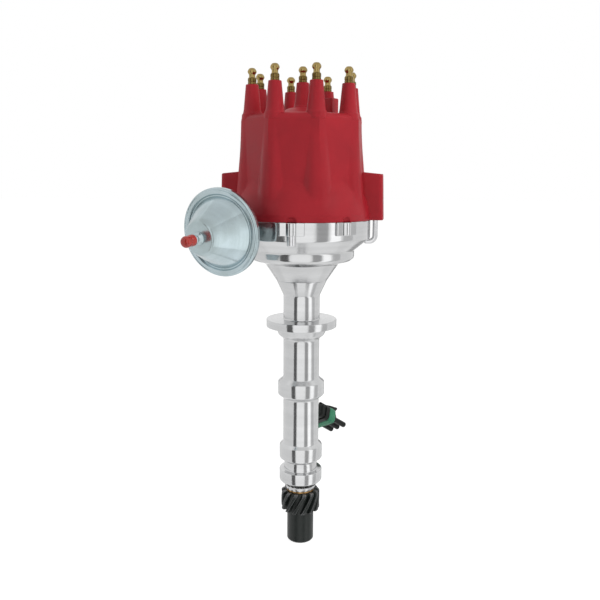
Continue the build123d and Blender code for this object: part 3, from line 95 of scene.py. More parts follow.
class HousingSizes(bpy.types.PropertyGroup):
    rim_r: size("Rim radius", 48.2, "Outside of the bowl's rim")
    rim_top: size("Rim top", 77.4, "Height of the face the cap sits on")
    rim_low: size("Rim foot", 64.7, "Height where the rim's straight wall starts")
    bowl_r: size("Bowl radius", 43.0, "Inside of the bowl at the rim")
    collar_r: size("Collar radius", 25.4, "Hold-down collar")
    collar_t: size("Collar thickness", 5.6, "Hold-down collar")
    column_r: size("Column radius", 13.1, "Plain stem between the lands")
    land_r: size("Land radius", 15.8, "Two lower lands")
    upper_land_r: size("Upper land radius", 16.95, "Land below the collar")
    boss_w: size("Boss width", 17.0, "Flat pad on the rim")
    boss_low: size("Boss foot", 68.6, "Height of the rim bosses' underside")
    boss_column_r: size("Boss column radius", 3.8, "Half-round column on each boss")
    boss_column_at: size("Boss column place", 47.6, "Distance of the column from the shaft axis")
    rim_screw_r: size("Rim screw radius", 3.15, "Screw through a rim boss")
    rim_screw_end: size("Rim screw end", 61.8, "Height of the screw's tip")


class CapSizes(bpy.types.PropertyGroup):
    towers: IntProperty(name="Towers", default=8, description="Plug towers round the cap")
    first_tower: angle("First tower", -30.86, "Angle of the first tower from the X axis")
    circle_r: size("Tower circle", 35.25, "Distance of the towers from the axis")
    tower_r: size("Tower top radius", 4.3, "Radius of a tower's flat top")
    tower_top: size("Tower top", 167.4, "Height of the plug towers")
    coil_top: size("Coil tower top", 169.9, "Height of the middle tower")
    slope: factor("Tower slope", 0.095, "Growth of a tower's radius over its height")
    panel_top: size("Panel top", 147.6, "Height of the cap's top face")
    panel_r: size("Panel distance", 39.6, "Distance of a flat panel from the axis at its top")
    panel_slope: factor("Panel slope", 0.0302, "Lean of the flat panels")
    top_ease: size("Top edge radius", 4.2, "Rounding between panels and top face")
    skirt_r: size("Skirt radius", 48.6, "Straight band at the cap's foot")
    band_h: size("Band height", 4.2, "Straight band at the cap's foot")
    hump_h: size("Hump height", 5.5, "Rise of the top face round the middle tower")
    ear_r: size("Ear reach", 56.2, "Distance of an ear's outer face from the axis")
    ear_w: size("Ear width", 18.0, "Width of an ear")


class CanisterSizes(bpy.types.PropertyGroup):
    shell_r: size("Shell radius", 29.1, "Rolled rim of the vacuum canister")
    cone_r: size("Cone foot radius", 24.2, "Where the cone leaves the flat band")
    end_r: size("Cone end radius", 10.9, "Flat end that carries the nipple")
    end_h: size("Cone height", 21.5, "From the rim's front plane to the flat end")
    crimp: size("Crimp depth", 4.4, "Width of the rolled rim")
    back: size("Back depth", 12.0, "Depth of the back shell")
    nipple_r: size("Nipple radius", 2.2, "Tube for the vacuum hose")
    bead_r: size("Bead radius", 3.1, "Bead that holds the hose")
    tip_h: size("Plug tip", 35.6, "Far end of the red plug")
    plug_r: size("Plug radius", 3.7, "Red plug on the nipple")
    plug_end: size("Plug end", 0.9, "Soft end of the plug past the tube")


class GearSizes(bpy.types.PropertyGroup):
    teeth: IntProperty(name="Teeth", default=13, description="Teeth of the drive gear")
    tip_r: size("Tip radius", 14.4, "Outside of the teeth")
    root_r: size("Root radius", 11.3, "Bottom of the gaps")
    top: size("Gear top", -125.6, "Height of the gear's upper face")
    face: size("Face length", 15.2, "Length of the teeth along the shaft")
    helix: angle("Helix angle", 30.0, "Lean of the teeth")
    hub_r: size("Hub radius", 9.92, "Sleeve below the teeth")
    hub_end: size("Hub end", -165.5, "Lower end of the hub")
    bore_r: size("Bore radius", 6.25, "Bore for the shaft")


class LatchSizes(bpy.types.PropertyGroup):
    place_r: size("Latch place", 51.6, "Distance of a latch rod from the axis")
    rod_r: size("Rod radius", 1.8, "Latch rod")
    head_r: size("Head radius", 4.0, "Slotted head")
    head_top: size("Head top", 106.6, "Height of the slotted head's top")
    head_h: size("Head height", 2.6, "Slotted head")
    foot_z: size("Foot height", 62.3, "Height of the hook's foot")
    foot_l: size("Foot length", 7.2, "Reach of the hook's foot")
    bend_r: size("Bend radius", 4.0, "Bend of the rod")


class LeadSizes(bpy.types.PropertyGroup):
    lead_r: size("Lead radius", 2.3, "Sleeved module lead")
    body_w: size("Connector width", 26.0, "Across the three tubes")
    body_h: size("Connector height", 13.0, "Without the latch arm")
    body_l: size("Connector length", 14.0, "Without the seal")
    seal_t: size("Seal width", 4.2, "Green seal")
    tube_r: size("Socket tube radius", 2.3, "Each of three tubes")
    tube_l: size("Socket tube length", 13.0, "Each of three tubes")
    pitch: size("Tube pitch", 7.4, "Between two tubes")


class FinishColours(bpy.types.PropertyGroup):
    aluminium: tint("Turned aluminium", (0.64, 0.645, 0.65), "Housing")
    zinc: tint("Zinc", (0.52, 0.62, 0.66), "Vacuum canister")
    steel: tint("Ground steel", (0.52, 0.53, 0.55), "Shaft and pins")
    plate: tint("Bright plate", (0.66, 0.66, 0.67), "Latch rods and rim screws")
    oxide: tint("Black oxide", (0.013, 0.018, 0.016), "Drive gear")
    brass: tint("Brass", (0.42, 0.31, 0.12), "Plug posts and contacts")
    bronze: tint("Bronze", (0.50, 0.30, 0.12), "Bushes and washers")
    red: tint("Cap red", (0.49, 0.016, 0.028), "Cap and rotor")
    vinyl: tint("Vinyl red", (0.56, 0.030, 0.018), "Nipple plug")
    black: tint("Black plastic", (0.010, 0.012, 0.011), "Connector and module")
    rubber: tint("Rubber", (0.018, 0.018, 0.018), "Lead and grommet")
    seal: tint("Green seal", (0.03, 0.26, 0.13), "Connector seal")


class StageLook(bpy.types.PropertyGroup):
    light: FloatProperty(name="World light", default=0.30, description="Plain soft light")
    key: FloatProperty(name="Key lamp", default=7.0, unit="POWER", description="Lamp at the upper right")
    floor_z: size("Floor height", -165.6, "Just under the hub's end")


# Shapes

def unit(v):
    """The vector divided by its length"""
    v = np.asarray(v, float)
    return v / np.linalg.norm(v)


def polar(radius, degrees):
    """(radius cos, radius sin) of an angle in degrees"""
    a = math.radians(degrees)
    return radius * math.cos(a), radius * math.sin(a)


class Seat:
    """A place to build on: local (x, y, h) goes to origin + x side + y across + h axis, and
    across is axis x side"""

    def __init__(self, origin=(0, 0, 0), axis=(0, 0, 1), side=(1, 0, 0)):
        self.origin = np.asarray(origin, float)
        self.axis = unit(axis)
        side = np.asarray(side, float)
        self.side = unit(side - self.axis * side.dot(self.axis))
        self.across = np.cross(self.axis, self.side)

    def put(self, x, y, h):
        """The world points of local coordinate arrays"""
        x, y, h = (np.asarray(v, float)[..., None] for v in (x, y, h))
        return self.origin + x * self.side + y * self.across + h * self.axis


SHAFT_AXIS = Seat()


def outward(degrees, radius=0):
    """A seat at a bearing round the shaft, with its side pointing out"""
    return Seat((*polar(radius, degrees), 0), side=(*polar(1, degrees), 0))


def eased(points, ease, closed=False, steps=4):
    """An outline with rounded corners. Near a corner P the line is the parabola
    (1-t)^2 A + 2t(1-t) P + t^2 B, with A and B the distance ease before and after P"""
    p = np.asarray(points, float)
    before, after = np.roll(p, 1, axis=0), np.roll(p, -1, axis=0)
    if not closed:
        before[0], after[-1] = p[0], p[-1]
    back, on = before - p, after - p
    back_l, on_l = (np.linalg.norm(v, axis=1, keepdims=True) for v in (back, on))
    reach = np.broadcast_to(np.reshape(np.asarray(ease, float), (-1, 1)), back_l.shape)
    a = p + back / np.maximum(back_l, 1e-9) * np.minimum(reach, 0.45 * back_l)
    b = p + on / np.maximum(on_l, 1e-9) * np.minimum(reach, 0.45 * on_l)
    t = np.linspace(0, 1, steps + 1)[None, :, None]
    line = (1 - t) ** 2 * a[:, None] + 2 * t * (1 - t) * p[:, None] + t ** 2 * b[:, None]
    return line.reshape(-1, p.shape[1])


def turned(profile, seat=SHAFT_AXIS, turns=128):
    """A profile of (radius, height) points spun about the seat's axis: at angle a the point is
    radius (cos a side + sin a across) + height axis"""
    r, h = np.asarray(profile, float).T
    a = np.linspace(0, TAU, turns, endpoint=False)
    r, h = r[:, None], np.broadcast_to(h[:, None], (len(h), turns))
    return seat.put(r * np.cos(a), r * np.sin(a), h)


def outline_normals(outline):
    """Unit normals that point out of a closed outline that runs anticlockwise"""
    run = np.roll(outline, -1, axis=0) - np.roll(outline, 1, axis=0)
    out = np.stack([run[:, 1], -run[:, 0]], -1)
    return out / np.maximum(np.linalg.norm(out, axis=1, keepdims=True), 1e-9)


def slab(outline, levels, seat, capped=True):
    """A closed outline carried along the seat's axis: each level (height, inset) moves it in
    by inset along its own normals. The ends close on the outline's middle"""
    outline = np.asarray(outline, float)
    levels = np.asarray(levels, float)
    flat = outline[None] - outline_normals(outline)[None] * levels[:, 1, None, None]
    h = np.broadcast_to(levels[:, 0, None], flat.shape[:2])
    if capped:
        middle = np.broadcast_to(outline.mean(axis=0), (1,) + outline.shape)
        flat = np.concatenate([middle, flat, middle])
        h = np.concatenate([h[:1], h, h[-1:]])
    return seat.put(flat[..., 0], flat[..., 1], h)


def slab_levels(low, high, ease, steps=4):
    """Levels of a slab whose two rims are quarter circles of radius ease"""
    a = np.linspace(0, math.pi / 2, steps + 1)
    foot = np.stack([low + ease * (1 - np.sin(a)), ease * (1 - np.cos(a))], -1)[::-1]
    head = np.stack([high - ease * (1 - np.sin(a)), ease * (1 - np.cos(a))], -1)
    return np.concatenate([foot, head])


def box_outline(width, height, corner, at=(0, 0), steps=8):
    """A rectangle with rounded corners, anticlockwise, with extra points along its sides"""
    w, h = width / 2, height / 2
    corners = eased([(w, -h), (w, h), (-w, h), (-w, -h)], corner, closed=True, steps=steps)
    return resampled(corners, 72) + np.asarray(at, float)


def circle_outline(radius, at=(0, 0), count=48):
    """A circle, anticlockwise"""
    a = np.linspace(0, TAU, count, endpoint=False)
    return np.stack([np.cos(a), np.sin(a)], -1) * radius + np.asarray(at, float)


def resampled(outline, count):
    """Points at even steps along a closed outline"""
    ring = np.concatenate([outline, outline[:1]])
    along = np.concatenate([[0], np.cumsum(np.linalg.norm(np.diff(ring, axis=0), axis=1))])
    even = np.linspace(0, along[-1], count, endpoint=False)
    return np.stack([np.interp(even, along, ring[:, k]) for k in range(ring.shape[1])], -1)


def drawn(path, radius, flat_normal, turns=32):
    """A round rod along a path in one plane: about each path point P with run T the ring is
    P + radius (cos a N + sin a B), B the plane's normal and N = B x T"""
    path = np.asarray(path, float)
    run = np.gradient(path, axis=0)
    run /= np.linalg.norm(run, axis=1, keepdims=True)
    b = unit(flat_normal)
    n = np.cross(b, run)
    a = np.linspace(0, TAU, turns, endpoint=False)[None, :, None]
    radius = np.broadcast_to(np.asarray(radius, float), (len(path),))[:, None, None]
    return path[:, None] + radius * (np.cos(a) * n[:, None] + np.sin(a) * b)


def swell(a, b, width):
    """The larger of two surfaces with a rounded valley between them: max + width/4 h^2, where
    h falls from 1 where they meet to 0 where they are width apart"""
    h = np.maximum(width - np.abs(a - b), 0) / width
    return np.maximum(a, b) + h * h * width / 4


def smooth_step(t):
    """3t^2 - 2t^3 between 0 and 1"""
    t = np.clip(t, 0, 1)
    return t * t * (3 - 2 * t)


def piece(name, surfaces, stands_for, finish, body="housing", slot=None, crease_deg=32):
    """One object from grids of points, each with its rows and columns joined by four-sided
    faces. A surface is (grid, rows joined end to end) or (grid, joined, marks per point), the marks
    being real tarnish on the brass posts and a painted highlight on the gear's tooth edges. The slot argument
    is not used"""
    points, faces, tarnish_and_sheen_marks, count = [], [], [], 0
    for grid, joined, *tarnish_and_sheen in surfaces:
        rows, cols = grid.shape[:2]
        index = np.arange(rows * cols).reshape(rows, cols) + count
        index = np.concatenate([index, index[:, :1]], 1)
        if joined:
            index = np.concatenate([index, index[:1]], 0)
        quads = np.stack([index[:-1, :-1], index[:-1, 1:], index[1:, 1:], index[1:, :-1]], -1)
        faces.append(quads.reshape(-1, 4))
        points.append(grid.reshape(-1, 3))
        tarnish_and_sheen_marks.append(np.broadcast_to(tarnish_and_sheen[0], (rows, cols)).ravel() if tarnish_and_sheen else np.zeros(rows * cols))
        count += rows * cols
    mesh = bpy.data.meshes.new(name)
    mesh.from_pydata(np.concatenate(points) * MM, [], np.concatenate(faces))
    # The per-point marks: real tarnish on the brass posts, a painted highlight on the gear's tooth edges
    tarnish_and_sheen_layer = mesh.attributes.new("tarnish_and_sheen_marks", "FLOAT", "POINT")
    tarnish_and_sheen_layer.data.foreach_set("value", np.concatenate(tarnish_and_sheen_marks).astype(np.float32))
    work = bmesh.new()
    work.from_mesh(mesh)
    bmesh.ops.remove_doubles(work, verts=work.verts, dist=3e-7)
    bmesh.ops.dissolve_degenerate(work, edges=work.edges, dist=1e-7)
    bmesh.ops.recalc_face_normals(work, faces=work.faces)
    work.to_mesh(mesh)
    work.free()
    mesh.shade_smooth()
    mesh.set_sharp_from_angle(angle=math.radians(crease_deg))
    made = bpy.data.objects.new(name, mesh)
    bpy.context.collection.objects.link(made)
    mesh.materials.append(finish_of(finish))
    slot = slot or finish
    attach(made, body)
    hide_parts(*stands_for)
    return made


# Finishes

def finish_of(name):
    """A material of this file. The frame's own have the same names without the ending"""
    return bpy.data.materials[name + "_finish"]


def add(tree, kind, wires=None, **settings):
    """A new node, its settings and its inputs, each a socket to join or a value to set"""
    made = tree.nodes.new(kind)
    for key, value in settings.items():
        setattr(made, key, value)
    for key, value in (wires or {}).items():
        if isinstance(value, bpy.types.NodeSocket):
            tree.links.new(value, made.inputs[key])
        else:
            made.inputs[key].default_value = value
    return made


def bare_tree(holder):
    """The emptied node tree of a material or a world"""
    holder.use_nodes = True
    holder.node_tree.nodes.clear()
    return holder.node_tree


def ring_coords(tree, coords, seat):
    """Object coordinates turned into (distance from the axis, 0, height), so that a noise
    makes rings about it, and the run of those rings as a tangent"""
    origin = (seat.origin * MM).tolist()
    turn = Matrix(np.stack([seat.side, seat.across, seat.axis], -1).tolist()).to_euler()
    local = add(tree, "ShaderNodeMapping", {"Vector": coords, "Location": origin, "Rotation": turn},
                vector_type="TEXTURE").outputs[0]
    parts = add(tree, "ShaderNodeSeparateXYZ", {0: local})
    flat = add(tree, "ShaderNodeCombineXYZ", {0: parts.outputs[0], 1: parts.outputs[1]})
    reach = add(tree, "ShaderNodeVectorMath", {0: flat.outputs[0]}, operation="LENGTH")
    rings = add(tree, "ShaderNodeCombineXYZ", {0: reach.outputs["Value"], 2: parts.outputs[2]}).outputs[0]
    offset = add(tree, "ShaderNodeVectorMath", {0: coords, 1: origin}, operation="SUBTRACT")
    across = add(tree, "ShaderNodeVectorMath", {0: seat.axis.tolist(), 1: offset.outputs[0]},
                 operation="CROSS_PRODUCT")
    tangent = add(tree, "ShaderNodeVectorMath", {0: across.outputs[0]}, operation="NORMALIZE").outputs[0]
    return rings, tangent


def shaded(name, colour, settings, bump, build):
    """A material with settings for the shader's sockets. The dressed colour, the roughness, the
    bump's height and other sockets come from build(tree, object coordinates)"""
    made = bpy.data.materials.new(name + "_finish")
    made.use_nodes = True
    tree = made.node_tree
    shader = tree.nodes["Principled BSDF"]
    for key, value in {"Base Color": (*colour, 1), **settings}.items():
        shader.inputs[key].default_value = value
    ends = build(tree, add(tree, "ShaderNodeTexCoord").outputs["Object"])
    strength, depth = bump
    ends["Normal"] = add(tree, "ShaderNodeBump", {"Height": ends.pop("height"), "Strength": strength,
                                                  "Distance": depth}).outputs[0]
    for key, socket in ends.items():
        tree.links.new(socket, shader.inputs[key])


def noise(tree, vector, scale, detail=3.0, rough=0.55):
    """Height of a noise with grains 1/scale metres across"""
    return add(tree, "ShaderNodeTexNoise", {"Vector": vector, "Scale": scale, "Detail": detail,
                                           "Roughness": rough}).outputs["Fac"]


def spread(tree, value, low, high):
    """A noise height stretched between two values"""
    return add(tree, "ShaderNodeMapRange", {"Value": value, "From Min": 0.3, "From Max": 0.7,
                                           "To Min": low, "To Max": high}).outputs[0]


def blended(tree, share, low, high):
    """Two colours mixed by a share"""
    made = add(tree, "ShaderNodeMix", data_type="RGBA")
    ends = [s for s in made.inputs if s.type == "RGBA"]
    for socket, colour in zip(ends, (low, high)):
        if isinstance(colour, bpy.types.NodeSocket):
            tree.links.new(colour, socket)
        else:
            socket.default_value = (*colour, 1)
    tree.links.new(share, made.inputs[0])
    return next(s for s in made.outputs if s.type == "RGBA")


def scaled(colour, factor):
    """The colour made lighter or darker"""
    return [min(1.0, c * factor) for c in colour]


def turned_metal(name, colour, rough, lines, seat=SHAFT_AXIS, depth=0.000003, grain=0.4, aniso=0.6,
                 stain=None, clouds=0.35):
    """Metal off a lathe or a press: fine rings in bump and roughness, faint rings in colour, and
    clouds of a stain"""
    def build(tree, coords):
        rings, tangent = ring_coords(tree, coords, seat)
        fine = noise(tree, rings, lines, 4.0, 0.7)
        broad = noise(tree, rings, lines * 0.12, 2.0)
        cloud = noise(tree, coords, 45.0, 4.0)
        ringed = blended(tree, spread(tree, broad, 0, 1), scaled(colour, 0.93), scaled(colour, 1.05))
        clouded = blended(tree, spread(tree, cloud, 0, clouds), ringed, stain or scaled(colour, 0.82))
        mixed = add(tree, "ShaderNodeMath", {0: spread(tree, fine, rough * 0.8, rough * 1.25),
                                             1: spread(tree, cloud, -0.03, 0.05)}, operation="ADD")
        return {"Base Color": clouded, "Roughness": mixed.outputs[0], "height": fine, "Tangent": tangent}
    shaded(name, colour, {"Metallic": 1.0, "Anisotropic": aniso, "Anisotropic Rotation": 0.25},
           (grain, depth), build)


def plain_metal(name, colour, rough, grain_scale=1800.0, depth=0.000004, tarnish_and_sheen=None, metallic=1.0,
                gloss=0.5):
    """Metal with a fine even grain, cloudy marks of use in colour and roughness, and a second colour where
    the per-point marks are high: real tarnish on the brass posts' collars, a painted highlight along the
    drive gear's tooth edges
    """
    def build(tree, coords):
        fine = noise(tree, coords, grain_scale, 3.0, 0.6)
        cloud = noise(tree, coords, 130.0, 5.0)
        base = blended(tree, spread(tree, cloud, 0, 1), scaled(colour, 0.85), scaled(colour, 1.12))
        # The second colour goes where the per-point marks are high: real tarnish on the brass posts' collars,
        # a painted highlight on the gear's tooth edges
        if tarnish_and_sheen is not None:
            layer = add(tree, "ShaderNodeAttribute", attribute_name="tarnish_and_sheen_marks").outputs["Fac"]
            broken = add(tree, "ShaderNodeMath", {0: layer, 1: spread(tree, cloud, 0.55, 1.3)},
                         operation="MULTIPLY", use_clamp=True).outputs[0]
            base = blended(tree, broken, base, tarnish_and_sheen)
        return {"Base Color": base, "height": fine,
                "Roughness": spread(tree, cloud, rough * 0.85, rough * 1.3)}
    shaded(name, colour, {"Metallic": metallic, "Specular IOR Level": gloss}, (0.5, depth), build)


def moulded(name, colour, rough, grain_scale, depth, dust=0.25, **sockets):
    """Moulded plastic or rubber: blasted grain in the bump, faint flow marks and dust in the
    colour. Other sockets are named with low lines for spaces"""
    def build(tree, coords):
        grain = noise(tree, coords, grain_scale, 4.0, 0.65)
        flow = noise(tree, coords, 38.0, 4.0)
        speck = noise(tree, coords, grain_scale * 0.5, 2.0)
        base = blended(tree, spread(tree, flow, 0, 1), scaled(colour, 0.88), scaled(colour, 1.10))
        dusty = scaled([c * 0.85 + 0.012 for c in colour], 1.2)
        return {"Base Color": blended(tree, spread(tree, speck, 0, dust), base, dusty), "height": grain,
                "Roughness": spread(tree, flow, rough * 0.85, rough * 1.15)}
    settings = {key.replace("_", " "): value for key, value in sockets.items()}
    shaded(name, colour, settings, (0.6, depth), build)


# Places shared by several pieces

CAN_AZ, CAN_TILT = math.radians(29.4), math.radians(5.6)
CAN_OUT = np.array([-math.sin(CAN_AZ), -math.cos(CAN_AZ), 0])
CAN_SIDE = np.array([math.cos(CAN_AZ), -math.sin(CAN_AZ), 0])
CAN_AXIS = CAN_OUT * math.cos(CAN_TILT) - np.array([0, 0, math.sin(CAN_TILT)])
CAN_SEAT = Seat(CAN_OUT * 65.7 - CAN_SIDE * 24.7 + np.array([0, 0, 70.4]), CAN_AXIS, CAN_SIDE)
BOSS_DEGS = (-53.36, -98.36, -233.36, -323.36)
SCREWED_DEGS = (-98.36, -323.36)
LATCH_DEGS = {"right": -8.36, "left": 171.64}
LEAD_POINTS = [
    (7.0, 52.5, 71.0), (8.4, 62.0, 71.0), (9.2, 71.0, 67.0), (9.5, 77.5, 59.5), (9.3, 80.5, 50.0),
    (8.3, 79.5, 34.0), (5.8, 74.5, 8.0), (1.5, 67.0, -20.0), (-3.5, 59.5, -44.0),
    (-6.3, 56.3, -60.0), (-4.6, 56.6, -72.0), (0.6, 59.0, -81.0), (7.7, 62.9, -86.4),
]
PLUG_SEAT = Seat(LEAD_POINTS[-1], np.subtract(LEAD_POINTS[-1], LEAD_POINTS[-2]), (-0.705, 0.558, -0.439))

CARRIED = {
    "bronze": ("upper_bush", "lower_bush", "thrust_washer", "upper_washer"),
    "ground_steel": ("shaft", "gear_pin", "gear_shim", "weight_pivots", "spring_posts", "advance_cam",
                     "vacuum_pin", "pickup_pole", "reluctor"),
    "zinc_steel": ("weight_base", "weight_a", "weight_b", "base_plate", "pickup_plate",
                   "diaphragm_plate", "vacuum_rod", "plate_ring", "canister_bracket"),
    "spring_steel": ("advance_springs", "canister_spring", "brush_spring", "latch_spring_right",
                     "latch_spring_left", "latch_clip_right", "latch_clip_left"),
    "screw_steel": ("base_plate_screws", "module_screws", "rotor_screw", "bracket_screws"),
    "black_plastic": ("ignition_module", "pickup_coil"),
    "red_plastic": ("rotor",),
    "brass": ("rotor_blade", "rotor_strip", "cap_contacts"),
    "carbon": ("carbon_brush",),
    "black_rubber": ("diaphragm",),
}


class MakeFinishes(bpy.types.Operator):
    """Make the materials and put them on the CAD nodes that stay"""
    bl_idname = "distributor.finishes"
    bl_label = "Finishes"

    def execute(self, context):
        c = context.scene.distributor_colours
        turned_metal("turned_aluminium", c.aluminium, 0.15, 1500.0, grain=0.3)
        turned_metal("canister_zinc", c.zinc, 0.17, 1300.0, seat=CAN_SEAT, grain=0.12, aniso=0.8,
                     stain=(0.33, 0.39, 0.37), clouds=0.55)
        turned_metal("ground_steel", c.steel, 0.28, 2600.0)
        plain_metal("zinc_steel", scaled(c.steel, 1.1), 0.34)
        plain_metal("spring_steel", scaled(c.steel, 0.6), 0.32)
        plain_metal("screw_steel", scaled(c.steel, 1.2), 0.30)
        plain_metal("bright_plate", c.plate, 0.14, 900.0, 0.000002)
        # The black oxide's light grey second colour is a painted highlight on the drive gear's tooth edges
        plain_metal("black_oxide", c.oxide, 0.34, 2400.0, 0.000006, tarnish_and_sheen=(0.30, 0.30, 0.31), metallic=0.0,
                    gloss=0.35)
        plain_metal("brass", c.brass, 0.17, 1500.0, 0.000003, tarnish_and_sheen=(0.12, 0.075, 0.02))
        plain_metal("bronze", c.bronze, 0.36)
        moulded("red_plastic", c.red, 0.44, 1700.0, 0.00003, dust=0.12, Specular_IOR_Level=0.26)
        moulded("black_plastic", c.black, 0.38, 1800.0, 0.00002, Specular_IOR_Level=0.22)
        moulded("black_rubber", c.rubber, 0.6, 1400.0, 0.00003, Specular_IOR_Level=0.22)
        moulded("green_seal", c.seal, 0.42, 1500.0, 0.00002)
        moulded("carbon", (0.03, 0.03, 0.03), 0.7, 1500.0, 0.00003)
        moulded("red_vinyl", c.vinyl, 0.16, 600.0, 0.000006, dust=0.0, Coat_Weight=0.3, Coat_Roughness=0.15)
        for finish, nodes in CARRIED.items():
            for node in nodes:
                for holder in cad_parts[node].material_slots:
                    holder.material = finish_of(finish)
        return {"FINISHED"}


class MakeHousing(bpy.types.Operator):
    """Turn the housing, with its rim bosses and bracket pad, and the rim screws"""
    bl_idname = "distributor.housing"
    bl_label = "Housing"

    def execute(self, context):
        h = measured(context.scene.distributor_housing)
        end_z, groove_r, ring_r = -124.0, 12.1, 37.2
        outside = [
            (11.0, end_z), (11.6, -120.6), (12.4, -120.3), (h.land_r, -116.8), (h.land_r, -108.7),
            (groove_r, -108.5), (groove_r, -101.8), (h.land_r, -99.4), (h.land_r, -89.8), (h.column_r, -87.4),
            (h.column_r, -53.6), (h.upper_land_r, -50.5), (h.upper_land_r, -41.0), (h.column_r, -37.9),
            (h.column_r, -8.9), (16.7, -5.8), (19.0, 0), (h.collar_r, 0), (h.collar_r, h.collar_t),
            (h.column_r, h.collar_t), (h.column_r, 22.8), (18.1, 33.6), (17.95, 33.85), (18.5, 34.1),
            (26.9, 46.6), (35.0, 48.5), (ring_r, 50.7), (ring_r, 55.6), (h.rim_r, h.rim_low),
            (h.rim_r, h.rim_top),
        ]
        outside_ease = [0.3, 1.2, 0.8, 0.5, 0.5, 0.8, 0.6, 0.5, 0.5, 0.8, 0.9, 0.6, 0.6, 0.9, 1.6, 1.0, 0.4,
                        0.5, 0.5, 1.0, 0.8, 0.1, 0.1, 0.1, 1.2, 0.8, 0.8, 0.8, 0.8, 0.5]
        lip_r, lip_top = h.bowl_r + 1.9, h.rim_top + 3
        floor_r, floor_z, bush_r, way_r = 34.5, 53.0, 8.02, 7.0
        inside = [
            (lip_r, h.rim_top), (lip_r, lip_top), (h.bowl_r, lip_top), (h.bowl_r, 69.0), (38.5, 69.0),
            (37.0, 63.5), (floor_r, 55.6), (floor_r, floor_z), (bush_r, floor_z), (bush_r, 27.0),
            (way_r, 27.0), (way_r, -102.0), (bush_r, -102.0), (bush_r, end_z),
        ]
        ring = eased(outside + inside, outside_ease + [0.3] * len(inside), closed=True)
        surfaces = [(turned(ring, turns=192), True)]
        pad_t, proud, boss_top = 5.6, 0.9, h.rim_top - 0.02
        pad = box_outline(pad_t, h.boss_w, 0.9, at=(h.rim_r + proud - pad_t / 2, 0))
        column = circle_outline(h.boss_column_r, at=(h.boss_column_at, 0))
        for deg in BOSS_DEGS:
            for outline, ease in ((pad, 0.6), (column, 0.7)):
                surfaces.append((slab(outline, slab_levels(h.boss_low, boss_top, ease), outward(deg)), False))
        surfaces.append((self.bracket_pad(), False))
        piece("housing_turned", surfaces, ("housing",), "turned_aluminium")
        screws = []
        for deg in SCREWED_DEGS:
            seat = Seat(origin=(*polar(h.boss_column_at, deg), 0))
            r, tip = h.rim_screw_r, h.rim_screw_end
            shape = eased([(0, tip), (r - 0.9, tip), (r, tip + 0.9), (r, h.rim_top), (0, h.rim_top)], 0.25)
            screws.append((turned(shape, seat, 64), False))
        piece("rim_boss_screws", screws, ("rim_screws",), "bright_plate")
        return {"FINISHED"}

    def bracket_pad(self):
        """The pad in plan is the strip between the bracket's face line and the bowl's wall. At
        height z the face line lies z tan(tilt) further out"""
        z, inset = slab_levels(62.7, 76.5, 0.8).T[..., None]
        low, high, wall_r, face_at, face_z, count = -41.7, -7.7, 44.6, 47.4, 72.2, 24
        wall_side = np.linspace(low, high, count)
        face_out = face_at + (z - face_z) * math.tan(CAN_TILT) - inset
        wall_out = np.sqrt(wall_r ** 2 - wall_side ** 2)
        out = np.concatenate([np.broadcast_to(part, (len(z), count)) for part in (face_out, wall_out)], 1)
        side = np.broadcast_to(np.concatenate([wall_side[::-1], wall_side]), out.shape)
        flat = np.stack([out, side], -1)
        ends = np.broadcast_to(flat[[0, -1]].mean(1, keepdims=True), (2, *flat.shape[1:]))
        flat = np.concatenate([ends[:1], flat, ends[1:]])
        z = np.concatenate([z[:1], z, z[-1:]])
        return Seat(side=CAN_OUT).put(flat[..., 0], flat[..., 1], np.broadcast_to(z, flat.shape[:2]))


